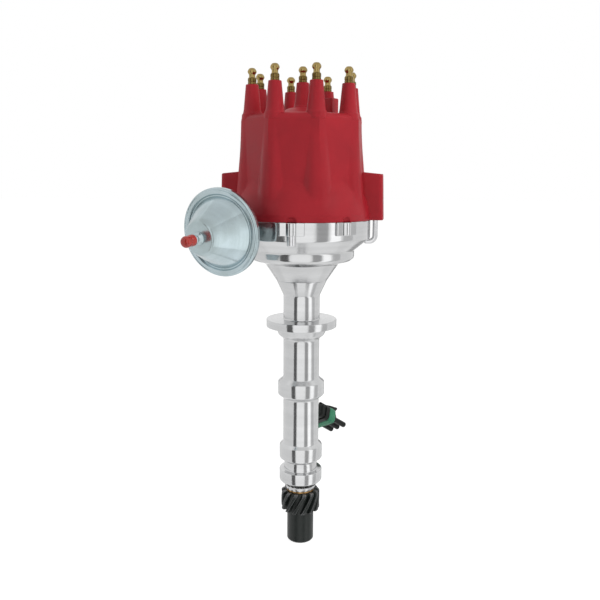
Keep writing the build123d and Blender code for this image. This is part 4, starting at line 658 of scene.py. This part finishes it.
class MakeCap(bpy.types.Operator):
    """Mould the cap: panels, ribs, skirt, towers and ears"""
    bl_idname = "distributor.cap"
    bl_label = "Cap"

    def execute(self, context):
        c = measured(context.scene.distributor_cap)
        foot = measured(context.scene.distributor_housing).rim_top
        surfaces = [(self.shell(c, foot), False)]
        for k in range(c.towers):
            x, y = polar(c.circle_r, tower_deg(c, k))
            surfaces.append((turned(self.tower(c, c.tower_top), Seat((x, y, 0)), 56), False))
        surfaces.append((turned(self.tower(c, c.coil_top, c.hump_h), SHAFT_AXIS, 56), False))
        for deg in LATCH_DEGS.values():
            surfaces.append((self.ear(c, foot, deg), True))
        vent = outward(52.0, 33.0)
        surfaces.append((slab(box_outline(9.0, 8.0, 1.2), slab_levels(142.0, 162.5, 0.9), vent), False))
        piece("cap_moulding", surfaces, ("distributor_cap",), "red_plastic")
        return {"FINISHED"}

    def shell(self, c, foot):
        """Outside: at angle a and height z the radius is the swelling maximum of the panel
        p / cos(half step - |d|), the rib circle C cos d + sqrt(r^2 - C^2 sin^2 d) and the skirt, d the
        angle from the nearest tower. Then the top face, and a turned inside"""
        turns = 640
        a = np.linspace(0, TAU, turns, endpoint=False)
        step = TAU / c.towers
        d = np.mod(a - c.first_tower + step / 2, step) - step / 2

        def panel(z):
            return (c.panel_r + c.panel_slope * (c.panel_top - z)) / np.cos(step / 2 - np.abs(d))

        def rib(z):
            r = c.tower_r + c.slope * (c.tower_top - z)
            return c.circle_r * np.cos(d) + np.sqrt(np.maximum(r * r - (c.circle_r * np.sin(d)) ** 2, 0))

        def skirt(z):
            band, shoulder = foot + c.band_h, 102.0
            t = np.clip((z - band) / (shoulder - band), 0, 1.6)
            return c.skirt_r - 3.4 * t - 4.2 * t * t

        fillet_low = c.panel_top - c.top_ease
        z_side = np.concatenate([[foot, foot + 0.15, foot + 0.4], np.linspace(foot + 0.8, 104, 64),
                                 np.linspace(104.6, fillet_low, 46)])[:, None]
        side = swell(swell(panel(z_side), rib(z_side), 0.9), skirt(z_side), 1.2)
        side[0] -= 0.4
        side[1] -= 0.12
        scoop_r, scoop_depth = 3.5, 1.3
        for deg in BOSS_DEGS:
            off = a - math.radians(deg)
            q = np.maximum(1 - ((c.skirt_r * np.sin(off)) ** 2 + (z_side - foot) ** 2) / scoop_r ** 2, 0)
            side -= scoop_depth * np.sqrt(q) * (np.cos(off) > 0)
        turn = np.linspace(0, math.pi / 2, 10)[1:, None]
        z_fillet = fillet_low + c.top_ease * np.sin(turn)
        fillet = swell(panel(z_fillet) - c.top_ease * (1 - np.cos(turn)), rib(z_fillet), 0.7)
        share = np.linspace(1, 0, 34)[1:, None]
        top = fillet[-1] * share
        z_top = c.panel_top + c.hump_h * smooth_step((22.0 - top) / 15.0)
        register_r, wall_r, ceiling, hub_z, brush_r = 45.2, 31.5, 138.0, 122.0, 3.05
        inside = eased([
            (48.2, foot), (register_r, foot), (register_r, foot + 3.4), (42.0, foot + 3.4), (35.5, 94.0),
            (wall_r, 99.0), (wall_r, ceiling - 4), (wall_r - 4, ceiling), (7.5, ceiling), (6.5, hub_z),
            (brush_r, hub_z), (brush_r, 134.0), (0, 134.0),
        ], 0.4)[::-1]
        radius = np.concatenate([np.broadcast_to(inside[:, :1], (len(inside), turns)), side, fillet, top])
        height = np.concatenate([np.broadcast_to(z, (len(z), turns))
                                 for z in (inside[:, 1:], z_side, z_fillet, z_top)])
        return SHAFT_AXIS.put(radius * np.cos(a), radius * np.sin(a), height)

    def tower(self, c, top, lift=0.0):
        """Cone of slope c.slope with a rounded top edge and a flared foot"""
        low = c.panel_top - 4
        z = np.linspace(low, top - 0.8, 30)
        r = c.tower_r + c.slope * (top - z) + 0.9 * np.exp(-np.maximum(z - c.panel_top - lift, 0) / 0.9)
        body = np.stack([r, z], -1)
        cap = eased([(c.tower_r + c.slope * 0.7, top - 0.7), (c.tower_r, top), (2.0, top), (0, top)], 0.55)
        return np.concatenate([[(0, low)], body, cap])

    def ear(self, c, foot, deg):
        """A rounded block with a sloping top, and its outline drawn in to the latch's bore: rows
        run up the outside, over the top and down the bore"""
        seat = outward(deg)
        root, place, head_r, rod_r, head_seat = 39.2, 51.6, 4.4, 1.9, 95
        outline = box_outline(c.ear_r - root, c.ear_w, 3.0, at=((c.ear_r + root) / 2, 0))
        angle = np.arctan2(outline[:, 1], outline[:, 0] - place)
        normals = outline_normals(outline)

        def top_at(x):
            return 110.3 - 1.7 * (x - root) / (c.ear_r - root)

        def row(x, y, z, drop):
            """At height z, or where drop is given that far under the sloping top"""
            return seat.put(x, y, np.full(len(x), z) if drop is None else top_at(x) - drop)

        def outer(z, inset, drop=None):
            x, y = (outline - normals * inset).T
            return row(x + (x - root) / (c.ear_r - root) * (1 - (z - foot) / 32), y, z, drop)

        def bore(radius, z=None, drop=None):
            return row(place + radius * np.cos(angle), radius * np.sin(angle), z, drop)

        rows = [outer(foot, 0.4), outer(foot + 0.4, 0)]
        rows += [outer(z, 0) for z in np.linspace(foot + 2, 104, 8)]
        rows += [outer(108, 0, 1.0), outer(108.6, 0.12, 0.5), outer(109, 0.45, 0.12), outer(109, 1.0, 0.0)]
        rows += [bore(head_r + 0.6, drop=0.0), bore(head_r + 0.3, drop=0.1), bore(head_r, drop=0.5)]
        rows += [bore(head_r, head_seat + 1), bore(head_r - 0.1, head_seat), bore(rod_r, head_seat),
                 bore(rod_r, 81.4), bore(3.9, 81.2), bore(3.9, foot)]
        return np.stack(rows)


def tower_deg(c, k):
    """Angle of a plug tower in degrees"""
    return math.degrees(c.first_tower) + 360 / c.towers * k


class MakeTerminals(bpy.types.Operator):
    """Turn the plug posts and the coil post"""
    bl_idname = "distributor.terminals"
    bl_label = "Terminals"

    def execute(self, context):
        c = measured(context.scene.distributor_cap)
        spots = [(*polar(c.circle_r, tower_deg(c, k)), c.tower_top, 112.0 - c.tower_top)
                 for k in range(c.towers)]
        posts = [self.post(*spot) for spot in spots]
        piece("plug_posts", posts, ("spark_terminals",), "brass")
        piece("coil_post", [self.post(0, 0, c.coil_top, 132.0 - c.coil_top)], ("coil_terminal",), "brass")
        return {"FINISHED"}

    def post(self, x, y, seat_z, stem_end):
        """Collar, waist and ball: a profile of (radius, height), darker on the collar"""
        stem_r, collar_r, waist_r, collar_top, top = 1.6, 2.95, 2.1, 4.4, 10.7
        shape = eased([
            (0, stem_end), (stem_r, stem_end), (stem_r, 0), (collar_r, 0), (collar_r, 1.5), (2.7, 1.75),
            (collar_r, 2.0), (collar_r, 3.9), (2.5, collar_top), (waist_r, 5.0), (waist_r, 6.5), (2.75, 7.3),
            (3.1, 8.1), (2.95, 9.0), (2.2, 10.2), (1.5, top), (0, top),
        ], [0, 0, 0, 0.25, 0.2, 0.2, 0.2, 0.4, 0.4, 0.5, 0.5, 0.5, 0.5, 0.6, 0.6, 0.3, 0])
        grid = turned(shape, Seat((x, y, seat_z)), 48)
        tarnish = np.where((shape[:, 1] > -0.1) & (shape[:, 1] < collar_top), 0.85, 0.12)[:, None]
        return grid, False, tarnish


class MakeLatches(bpy.types.Operator):
    """Bend the two latch rods and give them slotted heads"""
    bl_idname = "distributor.latches"
    bl_label = "Latches"

    def execute(self, context):
        s = measured(context.scene.distributor_latch)
        for side, deg in LATCH_DEGS.items():
            inward = np.array([*polar(-1, deg), 0])
            up = np.array([0, 0, 1.0])
            spot = np.array([*polar(s.place_r, deg), 0])
            head_low = s.head_top - s.head_h
            bend = np.linspace(0, math.pi / 2, 14)
            straight = np.stack([np.zeros(12), np.linspace(head_low, s.foot_z + s.bend_r + 0.4, 12)], -1)
            arc = np.stack([s.bend_r * (1 - np.cos(bend)), s.foot_z + s.bend_r * (1 - np.sin(bend))], -1)
            foot = np.stack([np.linspace(s.bend_r + 0.4, s.foot_l - 0.5, 4), np.full(4, s.foot_z)], -1)
            end = np.array([(s.foot_l - 0.5, s.foot_z), (s.foot_l - 0.15, s.foot_z), (s.foot_l, s.foot_z)])
            flat = np.concatenate([straight[:1], straight, arc, foot, end, end[-1:] + [(1e-4, 0)]])
            tip = [s.rod_r - 0.15, s.rod_r - 0.5, 0]
            radius = np.concatenate([[0], np.full(len(flat) - 4, s.rod_r), tip])
            path = spot + flat[:, :1] * inward + flat[:, 1:] * up
            surfaces = [(drawn(path, radius, np.cross(inward, up)), False)]
            seat = Seat(spot, side=inward)
            disc = circle_outline(s.head_r, count=64)
            slot_half, slot_z = 0.6, s.head_top - 1.2
            surfaces.append((slab(disc, slab_levels(head_low, slot_z, 0.25), seat), False))
            t = np.linspace(-1, 1, 28) * math.acos(slot_half / s.head_r)
            for way in (1, -1):
                rim = np.stack([np.sin(t), way * np.cos(t)], -1) * s.head_r
                chord = [(rim[-1, 0] * 0.5, rim[-1, 1]), (0, rim[-1, 1]), (rim[0, 0] * 0.5, rim[0, 1])]
                half = np.concatenate([rim, chord])[::-way]
                surfaces.append((slab(half, slab_levels(slot_z - 0.1, s.head_top, 0.3), seat), False))
            piece(f"latch_hook_{side}", surfaces, (f"latch_rod_{side}",), "bright_plate",
                  f"latch_turn_{side}")
        return {"FINISHED"}


class MakeCanister(bpy.types.Operator):
    """Spin the canister's two shells and the nipple"""
    bl_idname = "distributor.canister"
    bl_label = "Vacuum canister"

    def execute(self, context):
        c = measured(context.scene.distributor_canister)
        sheet, crimp_in, crimp_out, nipple_seat = 0.9, 26.6, 28.2, 2.12
        front = eased([
            (c.shell_r - 0.9, 0.0), (c.shell_r, -0.9), (c.shell_r, 0.7 - c.crimp),
            (c.shell_r - 0.7, -c.crimp), (crimp_in, -c.crimp), (crimp_in, -3.68), (crimp_out, -3.66),
            (crimp_out, -sheet),
            (c.cone_r + 0.6, -sheet), (c.cone_r - 0.2, -2.1), (c.cone_r - 1.4, -2.1),
            (c.end_r - 1.0, c.end_h - sheet), (nipple_seat, c.end_h - sheet), (nipple_seat, c.end_h),
            (c.end_r - 0.7, c.end_h), (c.end_r, c.end_h - 0.7), (c.cone_r - 0.6, -1.1), (c.cone_r, -1.2),
            (c.cone_r + 0.9, -0.1), (27.0, 0.0), (27.4, -0.25), (27.8, 0.0),
        ], [0.6, 0.6, 0.5, 0.5, 0.2, 0.1, 0.1, 0.2, 0.3, 0.3, 0.3, 0.3, 0, 0, 0.5, 0.6, 0.3, 0.2, 0.4, 0.15,
            0.15, 0.15], closed=True)
        back_r, mouth_r, back_low = 28.18, 5.2, -c.crimp - c.back
        back = eased([
            (back_r, -3.64), (back_r, -2.94), (23.8, -2.94), (7.7, -12.1), (7.7, back_low + 0.7),
            (mouth_r, back_low + 0.7), (mouth_r, back_low), (8.4, back_low), (8.4, -12.8), (24.5, -3.64),
        ], [0.1, 0.1, 0.5, 1.0, 0.4, 0.1, 0.1, 0.4, 1.4, 0.6], closed=True)
        bore, foot, bead, tip = 1.1, c.end_h + 0.01, c.end_h + 4.2, c.tip_h - 1.05
        nipple = eased([
            (bore, foot), (4.4, foot), (4.2, c.end_h + 0.7), (3.4, c.end_h + 1.1),
            (c.nipple_r, c.end_h + 2.2), (c.nipple_r, bead - 1.4), (c.bead_r, bead - 0.3),
            (c.bead_r - 0.2, bead + 0.4), (c.nipple_r, bead + 1.6), (c.nipple_r, tip - 0.6),
            (c.nipple_r - 0.5, tip), (bore, tip),
        ], 0.35, closed=True)
        shells = [(turned(front, CAN_SEAT, 192), True), (turned(back, CAN_SEAT, 128), True),
                  (turned(nipple, CAN_SEAT, 64), True)]
        piece("vacuum_canister", shells, ("canister_front_shell", "canister_back_shell", "vacuum_nipple"),
              "canister_zinc", slot="zinc_shell")
        return {"FINISHED"}


class MakePlug(bpy.types.Operator):
    """Mould the red plug on the nipple, a two-lobed cap of soft vinyl"""
    bl_idname = "distributor.plug"
    bl_label = "Nipple plug"

    def execute(self, context):
        c = measured(context.scene.distributor_canister)
        low, r, tip = c.tip_h - 8.4, c.plug_r, c.tip_h + c.plug_end
        bore, bore_end = 2.25, c.tip_h - 1.0
        shape = eased([
            (bore, low), (r - 0.4, low), (r, low + 0.5), (r, low + 2.7), (r - 0.62, low + 3.9),
            (r - 0.1, low + 5.0), (r, tip - 1.9), (r - 0.9, tip - 0.5), (r - 2.4, tip), (0, tip),
            (0, bore_end), (bore, bore_end),
        ], [0.1, 0.3, 0.4, 0.8, 0.8, 0.7, 0.8, 0.8, 0.8, 0, 0, 0.1], closed=True, steps=6)
        piece("nipple_plug_vinyl", [(turned(shape, CAN_SEAT, 72), True)], ("nipple_plug",), "red_vinyl",
              "nipple_plug")
        return {"FINISHED"}


class MakeGear(bpy.types.Operator):
    """Cut the helical drive gear with its hub"""
    bl_idname = "distributor.gear"
    bl_label = "Drive gear"

    def execute(self, context):
        """At angle a and height z the radius swells from root to tip with a smooth step of f, the
        share of a tooth's pitch from the nearest tooth, and a chamfer's limit cuts it near both
        ends. The teeth twist by (z - low) tan(helix) / tip_r"""
        g = measured(context.scene.distributor_gear)
        cols = g.teeth * 30
        a = np.linspace(0, TAU, cols, endpoint=False)
        f = np.mod(a * g.teeth / TAU + 0.5, 1.0) - 0.5
        rise = smooth_step((0.30 - np.abs(f)) / 0.15)
        tooth = g.root_r + (g.tip_r - g.root_r) * rise
        low = g.top - g.face
        z = np.concatenate([[g.top, g.top - 0.15, g.top - 0.6, g.top - 1.3],
                            np.linspace(g.top - 2.0, low + 1.2, 26), [low + 0.5, low + 0.12, low]])
        limit = np.minimum(13.0 + np.minimum((g.top - z) * 1.1, 1.4), 13.5 + np.minimum((z - low) * 1.5, 0.9))
        radius = np.minimum(tooth[None], limit[:, None])
        twist = (z - low) * math.tan(g.helix) / g.tip_r
        # The lighter grey along the tooth edges and on the teeth near both end faces is a painted highlight
        edge = np.exp(-((np.abs(f) - 0.16) / 0.022) ** 2)
        ends = np.exp(-(np.minimum(g.top - z, z - low) / 0.8))[:, None] * (rise > 0.6)
        tarnish_and_sheen = np.clip(edge * 0.55 + ends * 0.7, 0, 1)
        bore = eased([(g.bore_r, g.hub_end + 0.6), (g.bore_r, g.top - 0.4), (g.bore_r + 0.4, g.top),
                      (9.6, g.top)], 0.1)
        end = g.hub_end
        hub = eased([(g.hub_r + 0.9, low), (g.hub_r, low - 0.9), (g.hub_r, end + 1.1), (g.hub_r - 0.9, end),
                     (g.bore_r + 0.5, end), (g.bore_r, end + 0.5)], 0.3)
        rows = []
        for r, h, turn in ((bore[:, :1], bore[:, 1:], twist[0]), (radius, z[:, None], twist[:, None]),
                           (hub[:, :1], hub[:, 1:], twist[-1])):
            height = np.broadcast_to(h, (len(h), cols))
            rows.append(SHAFT_AXIS.put(r * np.cos(a + turn), r * np.sin(a + turn), height))
        tarnish_and_sheen_marks = np.concatenate([np.zeros((len(bore), cols)), tarnish_and_sheen, np.zeros((len(hub), cols))])
        piece("helical_gear", [(np.concatenate(rows), True, tarnish_and_sheen_marks)], ("drive_gear",), "black_oxide", "shaft",
              crease_deg=40)
        return {"FINISHED"}


class MakeLead(bpy.types.Operator):
    """Run the module lead from its grommet to the three-way connector"""
    bl_idname = "distributor.lead"
    bl_label = "Lead and connector"

    def execute(self, context):
        s = measured(context.scene.distributor_lead)
        curve = bpy.data.curves.new("module_lead", "CURVE")
        curve.dimensions = "3D"
        curve.bevel_depth = s.lead_r * MM
        curve.bevel_resolution = 6
        curve.resolution_u = 12
        curve.use_fill_caps = True
        spline = curve.splines.new("NURBS")
        spline.points.add(len(LEAD_POINTS) - 1)
        route = np.concatenate([np.asarray(LEAD_POINTS) * MM, np.ones((len(LEAD_POINTS), 1))], 1)
        spline.points.foreach_set("co", route.ravel())
        spline.order_u = 3
        spline.use_endpoint_u = True
        lead = bpy.data.objects.new("module_lead", curve)
        bpy.context.collection.objects.link(lead)
        curve.materials.append(finish_of("black_rubber"))
        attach(lead, "housing")
        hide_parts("lead")
        parts = [self.shell(s), self.seal(s), self.sockets(s)]
        exit_r = math.hypot(*LEAD_POINTS[0][:2])
        way = np.subtract(LEAD_POINTS[1], LEAD_POINTS[0])
        seat = Seat(LEAD_POINTS[0], way, (0, 0, 1))
        wall, wall_t, neck_r, flange_r = 48.25 - exit_r, 5.2, 2.98, 4.2
        boot = eased([
            (0, wall - wall_t), (neck_r, wall - wall_t), (neck_r, wall), (flange_r, wall),
            (flange_r, wall + 1.2), (3.5, wall + 1.7), (3.3, wall + 3.0), (3.05, 0.5), (2.5, 0.5), (2.5, 0.1),
            (0, 0.1),
        ], 0.3)
        piece("lead_boot", [(turned(boot, seat, 48), False)], ("lead_grommet",), "black_rubber")
        return {"FINISHED"}

    def shell(self, s):
        """Rounded block with a stepped collar at each end, side ribs and a hooked latch arm"""
        outline = box_outline(s.body_w, s.body_h, 4.0)
        levels = [(0.0, 3.2), (0.3, 2.4), (1.2, 1.9), (2.6, 1.8), (2.9, 0.9), (3.3, 0.5), (5.2, 0.4),
                  (5.6, 1.3), (6.9, 1.3), (7.3, 0.3), (s.body_l - 3.2, 0.2), (s.body_l - 3.0, 0.9),
                  (s.body_l - 0.3, 1.0), (s.body_l, 1.3)]
        surfaces = [(slab(outline, levels, PLUG_SEAT), False)]
        arm_seat = Seat(PLUG_SEAT.origin, PLUG_SEAT.side, PLUG_SEAT.axis)
        top, half_w = s.body_h / 2, 4.6
        arm = [(-9, -0.9), (-5, 0.2), (4, 2.2), (7.2, 2.3), (10.0, 2.8), (12.6, 6.4), (11.6, 7.5), (9.0, 6.9),
               (4, 5.9), (-4, 3.5), (-9, 1.8)]
        arm = eased(np.add(arm, (s.body_l, top)), 0.5, closed=True)
        # The arm's seat has its across against the connector's, so the outline is mirrored
        arm = (arm * (1, -1))[::-1]
        surfaces.append((slab(resampled(arm, 90), slab_levels(-half_w, half_w, 0.5), arm_seat), False))
        for place in (-8.0, 8.0):
            rib = box_outline(2.2, 1.6, 0.4, at=(place, top + 0.3))
            surfaces.append((slab(rib, slab_levels(2.4, s.body_l - 2.0, 0.4), PLUG_SEAT), False))
        sleeve = eased([(0, -0.4), (3.2, -0.4), (3.9, 0.6), (3.9, 2), (0, 2)], 0.4)
        surfaces.append((turned(sleeve, PLUG_SEAT, 40), False))
        return piece("connector_shell", surfaces, ("connector_body",), "black_plastic")

    def seal(self, s):
        """Band round the connector's mouth, with the skirt that it draws over the body: its
        inset is a half sine of the height less a cosine, a rounded band with three ridges"""
        outline = box_outline(s.body_w, s.body_h, 4.4)
        skirt = 2.9
        h = np.linspace(0.0, 1.0, 48)
        ridge = 0.22 * (1 - np.cos(h * TAU * 3)) / 2
        inset = 1.1 - 1.05 * np.sin(h * math.pi) ** 0.5 - ridge
        height = s.body_l - skirt + h * (s.seal_t + skirt - 0.02)
        band = slab(outline, np.stack([height, inset], -1), PLUG_SEAT)
        return piece("connector_seal_band", [(band, False)], ("connector_seal",), "green_seal")

    def sockets(self, s):
        """Face block and three open tubes in a row"""
        base = s.body_l + s.seal_t
        block = box_outline(s.body_w - 4.5, s.body_h - 5, 3.0)
        surfaces = [(slab(block, slab_levels(base + 0.01, base + 2.4, 0.5), PLUG_SEAT), False)]
        start, end, foot_r, bore_r = base + 2.0, base + 2.4 + s.tube_l, 2.9, 1.5
        shape = eased([(0, start), (foot_r, start), (foot_r, start + 0.9), (s.tube_r, start + 1.3),
                       (s.tube_r, end - 0.5), (s.tube_r - 0.4, end), (bore_r + 0.2, end), (bore_r, end - 0.3),
                       (bore_r, start + 1.6), (0, start + 1.6)], 0.25)
        for step in (-1, 0, 1):
            origin = PLUG_SEAT.origin + PLUG_SEAT.side * step * s.pitch
            surfaces.append((turned(shape, Seat(origin, PLUG_SEAT.axis, PLUG_SEAT.side), 40), False))
        return piece("connector_tubes", surfaces, ("connector_sockets",), "black_plastic")


class MakeStage(bpy.types.Operator):
    """Set the camera, floor, lamps and plain pale background"""
    bl_idname = "distributor.stage"
    bl_label = "Stage"

    def execute(self, context):
        scene = context.scene
        look = measured(scene.distributor_stage)
        scene.view_settings.view_transform = "Standard"
        self.camera(scene)
        self.floor(look)
        self.world(scene, look)
        for name, spot, aim, wide, power in (
            ("key_lamp", (1.0, -0.65, 0.75), (0, 0, 0.05), 0.6, look.key),
            ("fill_lamp", (-0.95, -0.65, 0.45), (0, 0, 0.02), 0.6, look.key * 0.18),
            ("back_lamp", (-0.2, 0.9, 0.9), (0, 0, 0.05), 0.7, look.key * 0.4),
        ):
            lamp = bpy.data.lights.new(name, "AREA")
            lamp.shape, lamp.size, lamp.energy = "DISK", wide, power
            holder = bpy.data.objects.new(name, lamp)
            holder.visible_glossy = False
            holder.location = spot
            holder.rotation_mode = "QUATERNION"
            holder.rotation_quaternion = (Vector(aim) - Vector(spot)).to_track_quat("-Z", "Y")
            bpy.context.collection.objects.link(holder)
        self.cards()
        return {"FINISHED"}

    def camera(self, scene):
        """The photograph's camera: half a metre in front, tilted down, with a little roll"""
        place, down, roll = (-0.00114, -0.5005, 0.1059), 9.86, 0.336
        data = bpy.data.cameras.new("camera")
        data.sensor_width, data.lens = 36.0, 42.23
        data.clip_start, data.clip_end = 0.01, 30.0
        holder = bpy.data.objects.new("camera", data)
        holder.matrix_world = (Matrix.Translation(place) @ Matrix.Rotation(math.radians(90 - down), 4, "X")
                               @ Matrix.Rotation(math.radians(roll), 4, "Z"))
        bpy.context.collection.objects.link(holder)
        scene.camera = holder

    def card(self, name, points, faces, finish):
        """A thin sheet of the stage"""
        mesh = bpy.data.meshes.new(name)
        mesh.from_pydata(points, [], faces)
        made = bpy.data.objects.new(name, mesh)
        bpy.context.collection.objects.link(made)
        mesh.materials.append(finish)
        return made

    def floor(self, look):
        """A wide sheet: pale and even where it is seen, a plain matt floor for other rays"""
        made = bpy.data.materials.new("pale_floor")
        tree = bare_tree(made)
        seen = self.seen_rays(tree)
        matt = add(tree, "ShaderNodeBsdfDiffuse", {"Color": (0.85, 0.85, 0.85, 1)})
        soft = add(tree, "ShaderNodeBsdfDiffuse", {"Color": (0.36, 0.36, 0.36, 1)})
        glow = add(tree, "ShaderNodeEmission", {"Color": (1, 1, 1, 1), "Strength": 0.91})
        lit = add(tree, "ShaderNodeAddShader", {0: soft.outputs[0], 1: glow.outputs[0]})
        mixed = add(tree, "ShaderNodeMixShader", {0: seen, 1: matt.outputs[0], 2: lit.outputs[0]})
        add(tree, "ShaderNodeOutputMaterial", {"Surface": mixed.outputs[0]})
        z, far = look.floor_z * MM, 8.0
        corners = [(-far, -far, z), (far, -far, z), (far, far, z), (-far, far, z)]
        floor = self.card("floor", corners, [(0, 1, 2, 3)], made)
        floor.visible_glossy = False

    def seen_rays(self, tree):
        """1 for rays that the camera, a gloss or a glass sends, else 0"""
        path = add(tree, "ShaderNodeLightPath")
        seen = path.outputs["Is Camera Ray"]
        for kind in ("Is Glossy Ray", "Is Transmission Ray"):
            seen = add(tree, "ShaderNodeMath", {0: seen, 1: path.outputs[kind]},
                       operation="MAXIMUM").outputs[0]
        return seen

    def world(self, scene, look):
        """A plain background: white where it is seen, a soft light for other rays"""
        scene.world = bpy.data.worlds.new("pale_world")
        tree = bare_tree(scene.world)
        seen = self.seen_rays(tree)
        strength = add(tree, "ShaderNodeMapRange", {"Value": seen, "To Min": look.light, "To Max": 1.0})
        light = add(tree, "ShaderNodeBackground", {"Color": (1, 1, 1, 1), "Strength": strength.outputs[0]})
        add(tree, "ShaderNodeOutputWorld", {"Surface": light.outputs[0]})

    def cards(self):
        """Tall light and dark cards that only gloss sees, as a studio sets them to draw bands on
        bright metal. Each stands at a range of bearings from the camera's side, in degrees to
        the right, with its brightness, and a grey one hangs above"""
        away, low, high, half, count = 1.4, -1.7, 1.5, 0.9, 9
        for number, (start, stop, level) in enumerate((
            (-148, -51, 0.90), (-48, -28, 0.14), (-25, 20, 1.2), (23, 43, 0.46), (47, 66, 1.5),
            (70, 92, 0.66), (95, 148, 0.90), (151, 164, 0.42), (167, 200, 0.95), (203, 209, 0.50),
        )):
            ends = [polar(away, bearing - 90) for bearing in np.linspace(start, stop, count)]
            points = [(*end, z) for z in (low, high) for end in ends]
            faces = [(k, k + 1, count + k + 1, count + k) for k in range(count - 1)]
            self.glow_card(f"card_{number}", points, faces, level)
        corners = [(-half, -half, high), (half, -half, high), (half, half, high), (-half, half, high)]
        self.glow_card("card_above", corners, [(0, 1, 2, 3)], 0.80)

    def glow_card(self, name, points, faces, level):
        """A card that shines with its level and that only gloss sees"""
        made = bpy.data.materials.new(name)
        tree = bare_tree(made)
        glow = add(tree, "ShaderNodeEmission", {"Color": (1, 1, 1, 1), "Strength": level})
        add(tree, "ShaderNodeOutputMaterial", {"Surface": glow.outputs[0]})
        card = self.card(name, points, faces, made)
        card.visible_camera = card.visible_diffuse = False
        card.visible_shadow = card.visible_transmission = False


class DistributorPanel(bpy.types.Panel):
    """Buttons and sizes of the distributor"""
    bl_idname = "VIEW3D_PT_distributor"
    bl_label = "Distributor"
    bl_space_type = "VIEW_3D"
    bl_region_type = "UI"
    bl_category = "Distributor"

    def draw(self, context):
        for step in STEPS:
            self.layout.operator(step.bl_idname)
        for name, _ in GROUPS:
            box = self.layout.box()
            box.label(text=name)
            group = getattr(context.scene, name)
            for key in group.bl_rna.properties.keys():
                if key not in ("rna_type", "name"):
                    box.prop(group, key)


GROUPS = (
    ("distributor_housing", HousingSizes), ("distributor_cap", CapSizes),
    ("distributor_canister", CanisterSizes), ("distributor_gear", GearSizes),
    ("distributor_latch", LatchSizes), ("distributor_lead", LeadSizes),
    ("distributor_colours", FinishColours), ("distributor_stage", StageLook),
)
STEPS = (MakeFinishes, MakeHousing, MakeCap, MakeTerminals, MakeLatches, MakeCanister, MakePlug, MakeGear,
         MakeLead, MakeStage)


def register():
    for name, group in GROUPS:
        bpy.utils.register_class(group)
        setattr(bpy.types.Scene, name, PointerProperty(type=group))
    for made in (*STEPS, DistributorPanel):
        bpy.utils.register_class(made)


def unregister():
    for made in (DistributorPanel, *reversed(STEPS)):
        bpy.utils.unregister_class(made)
    for name, group in reversed(GROUPS):
        delattr(bpy.types.Scene, name)
        bpy.utils.unregister_class(group)


def main():
    register()
    for step in STEPS:
        group, name = step.bl_idname.split(".")
        getattr(getattr(bpy.ops, group), name)()


if __name__ == "__main__":
    main()
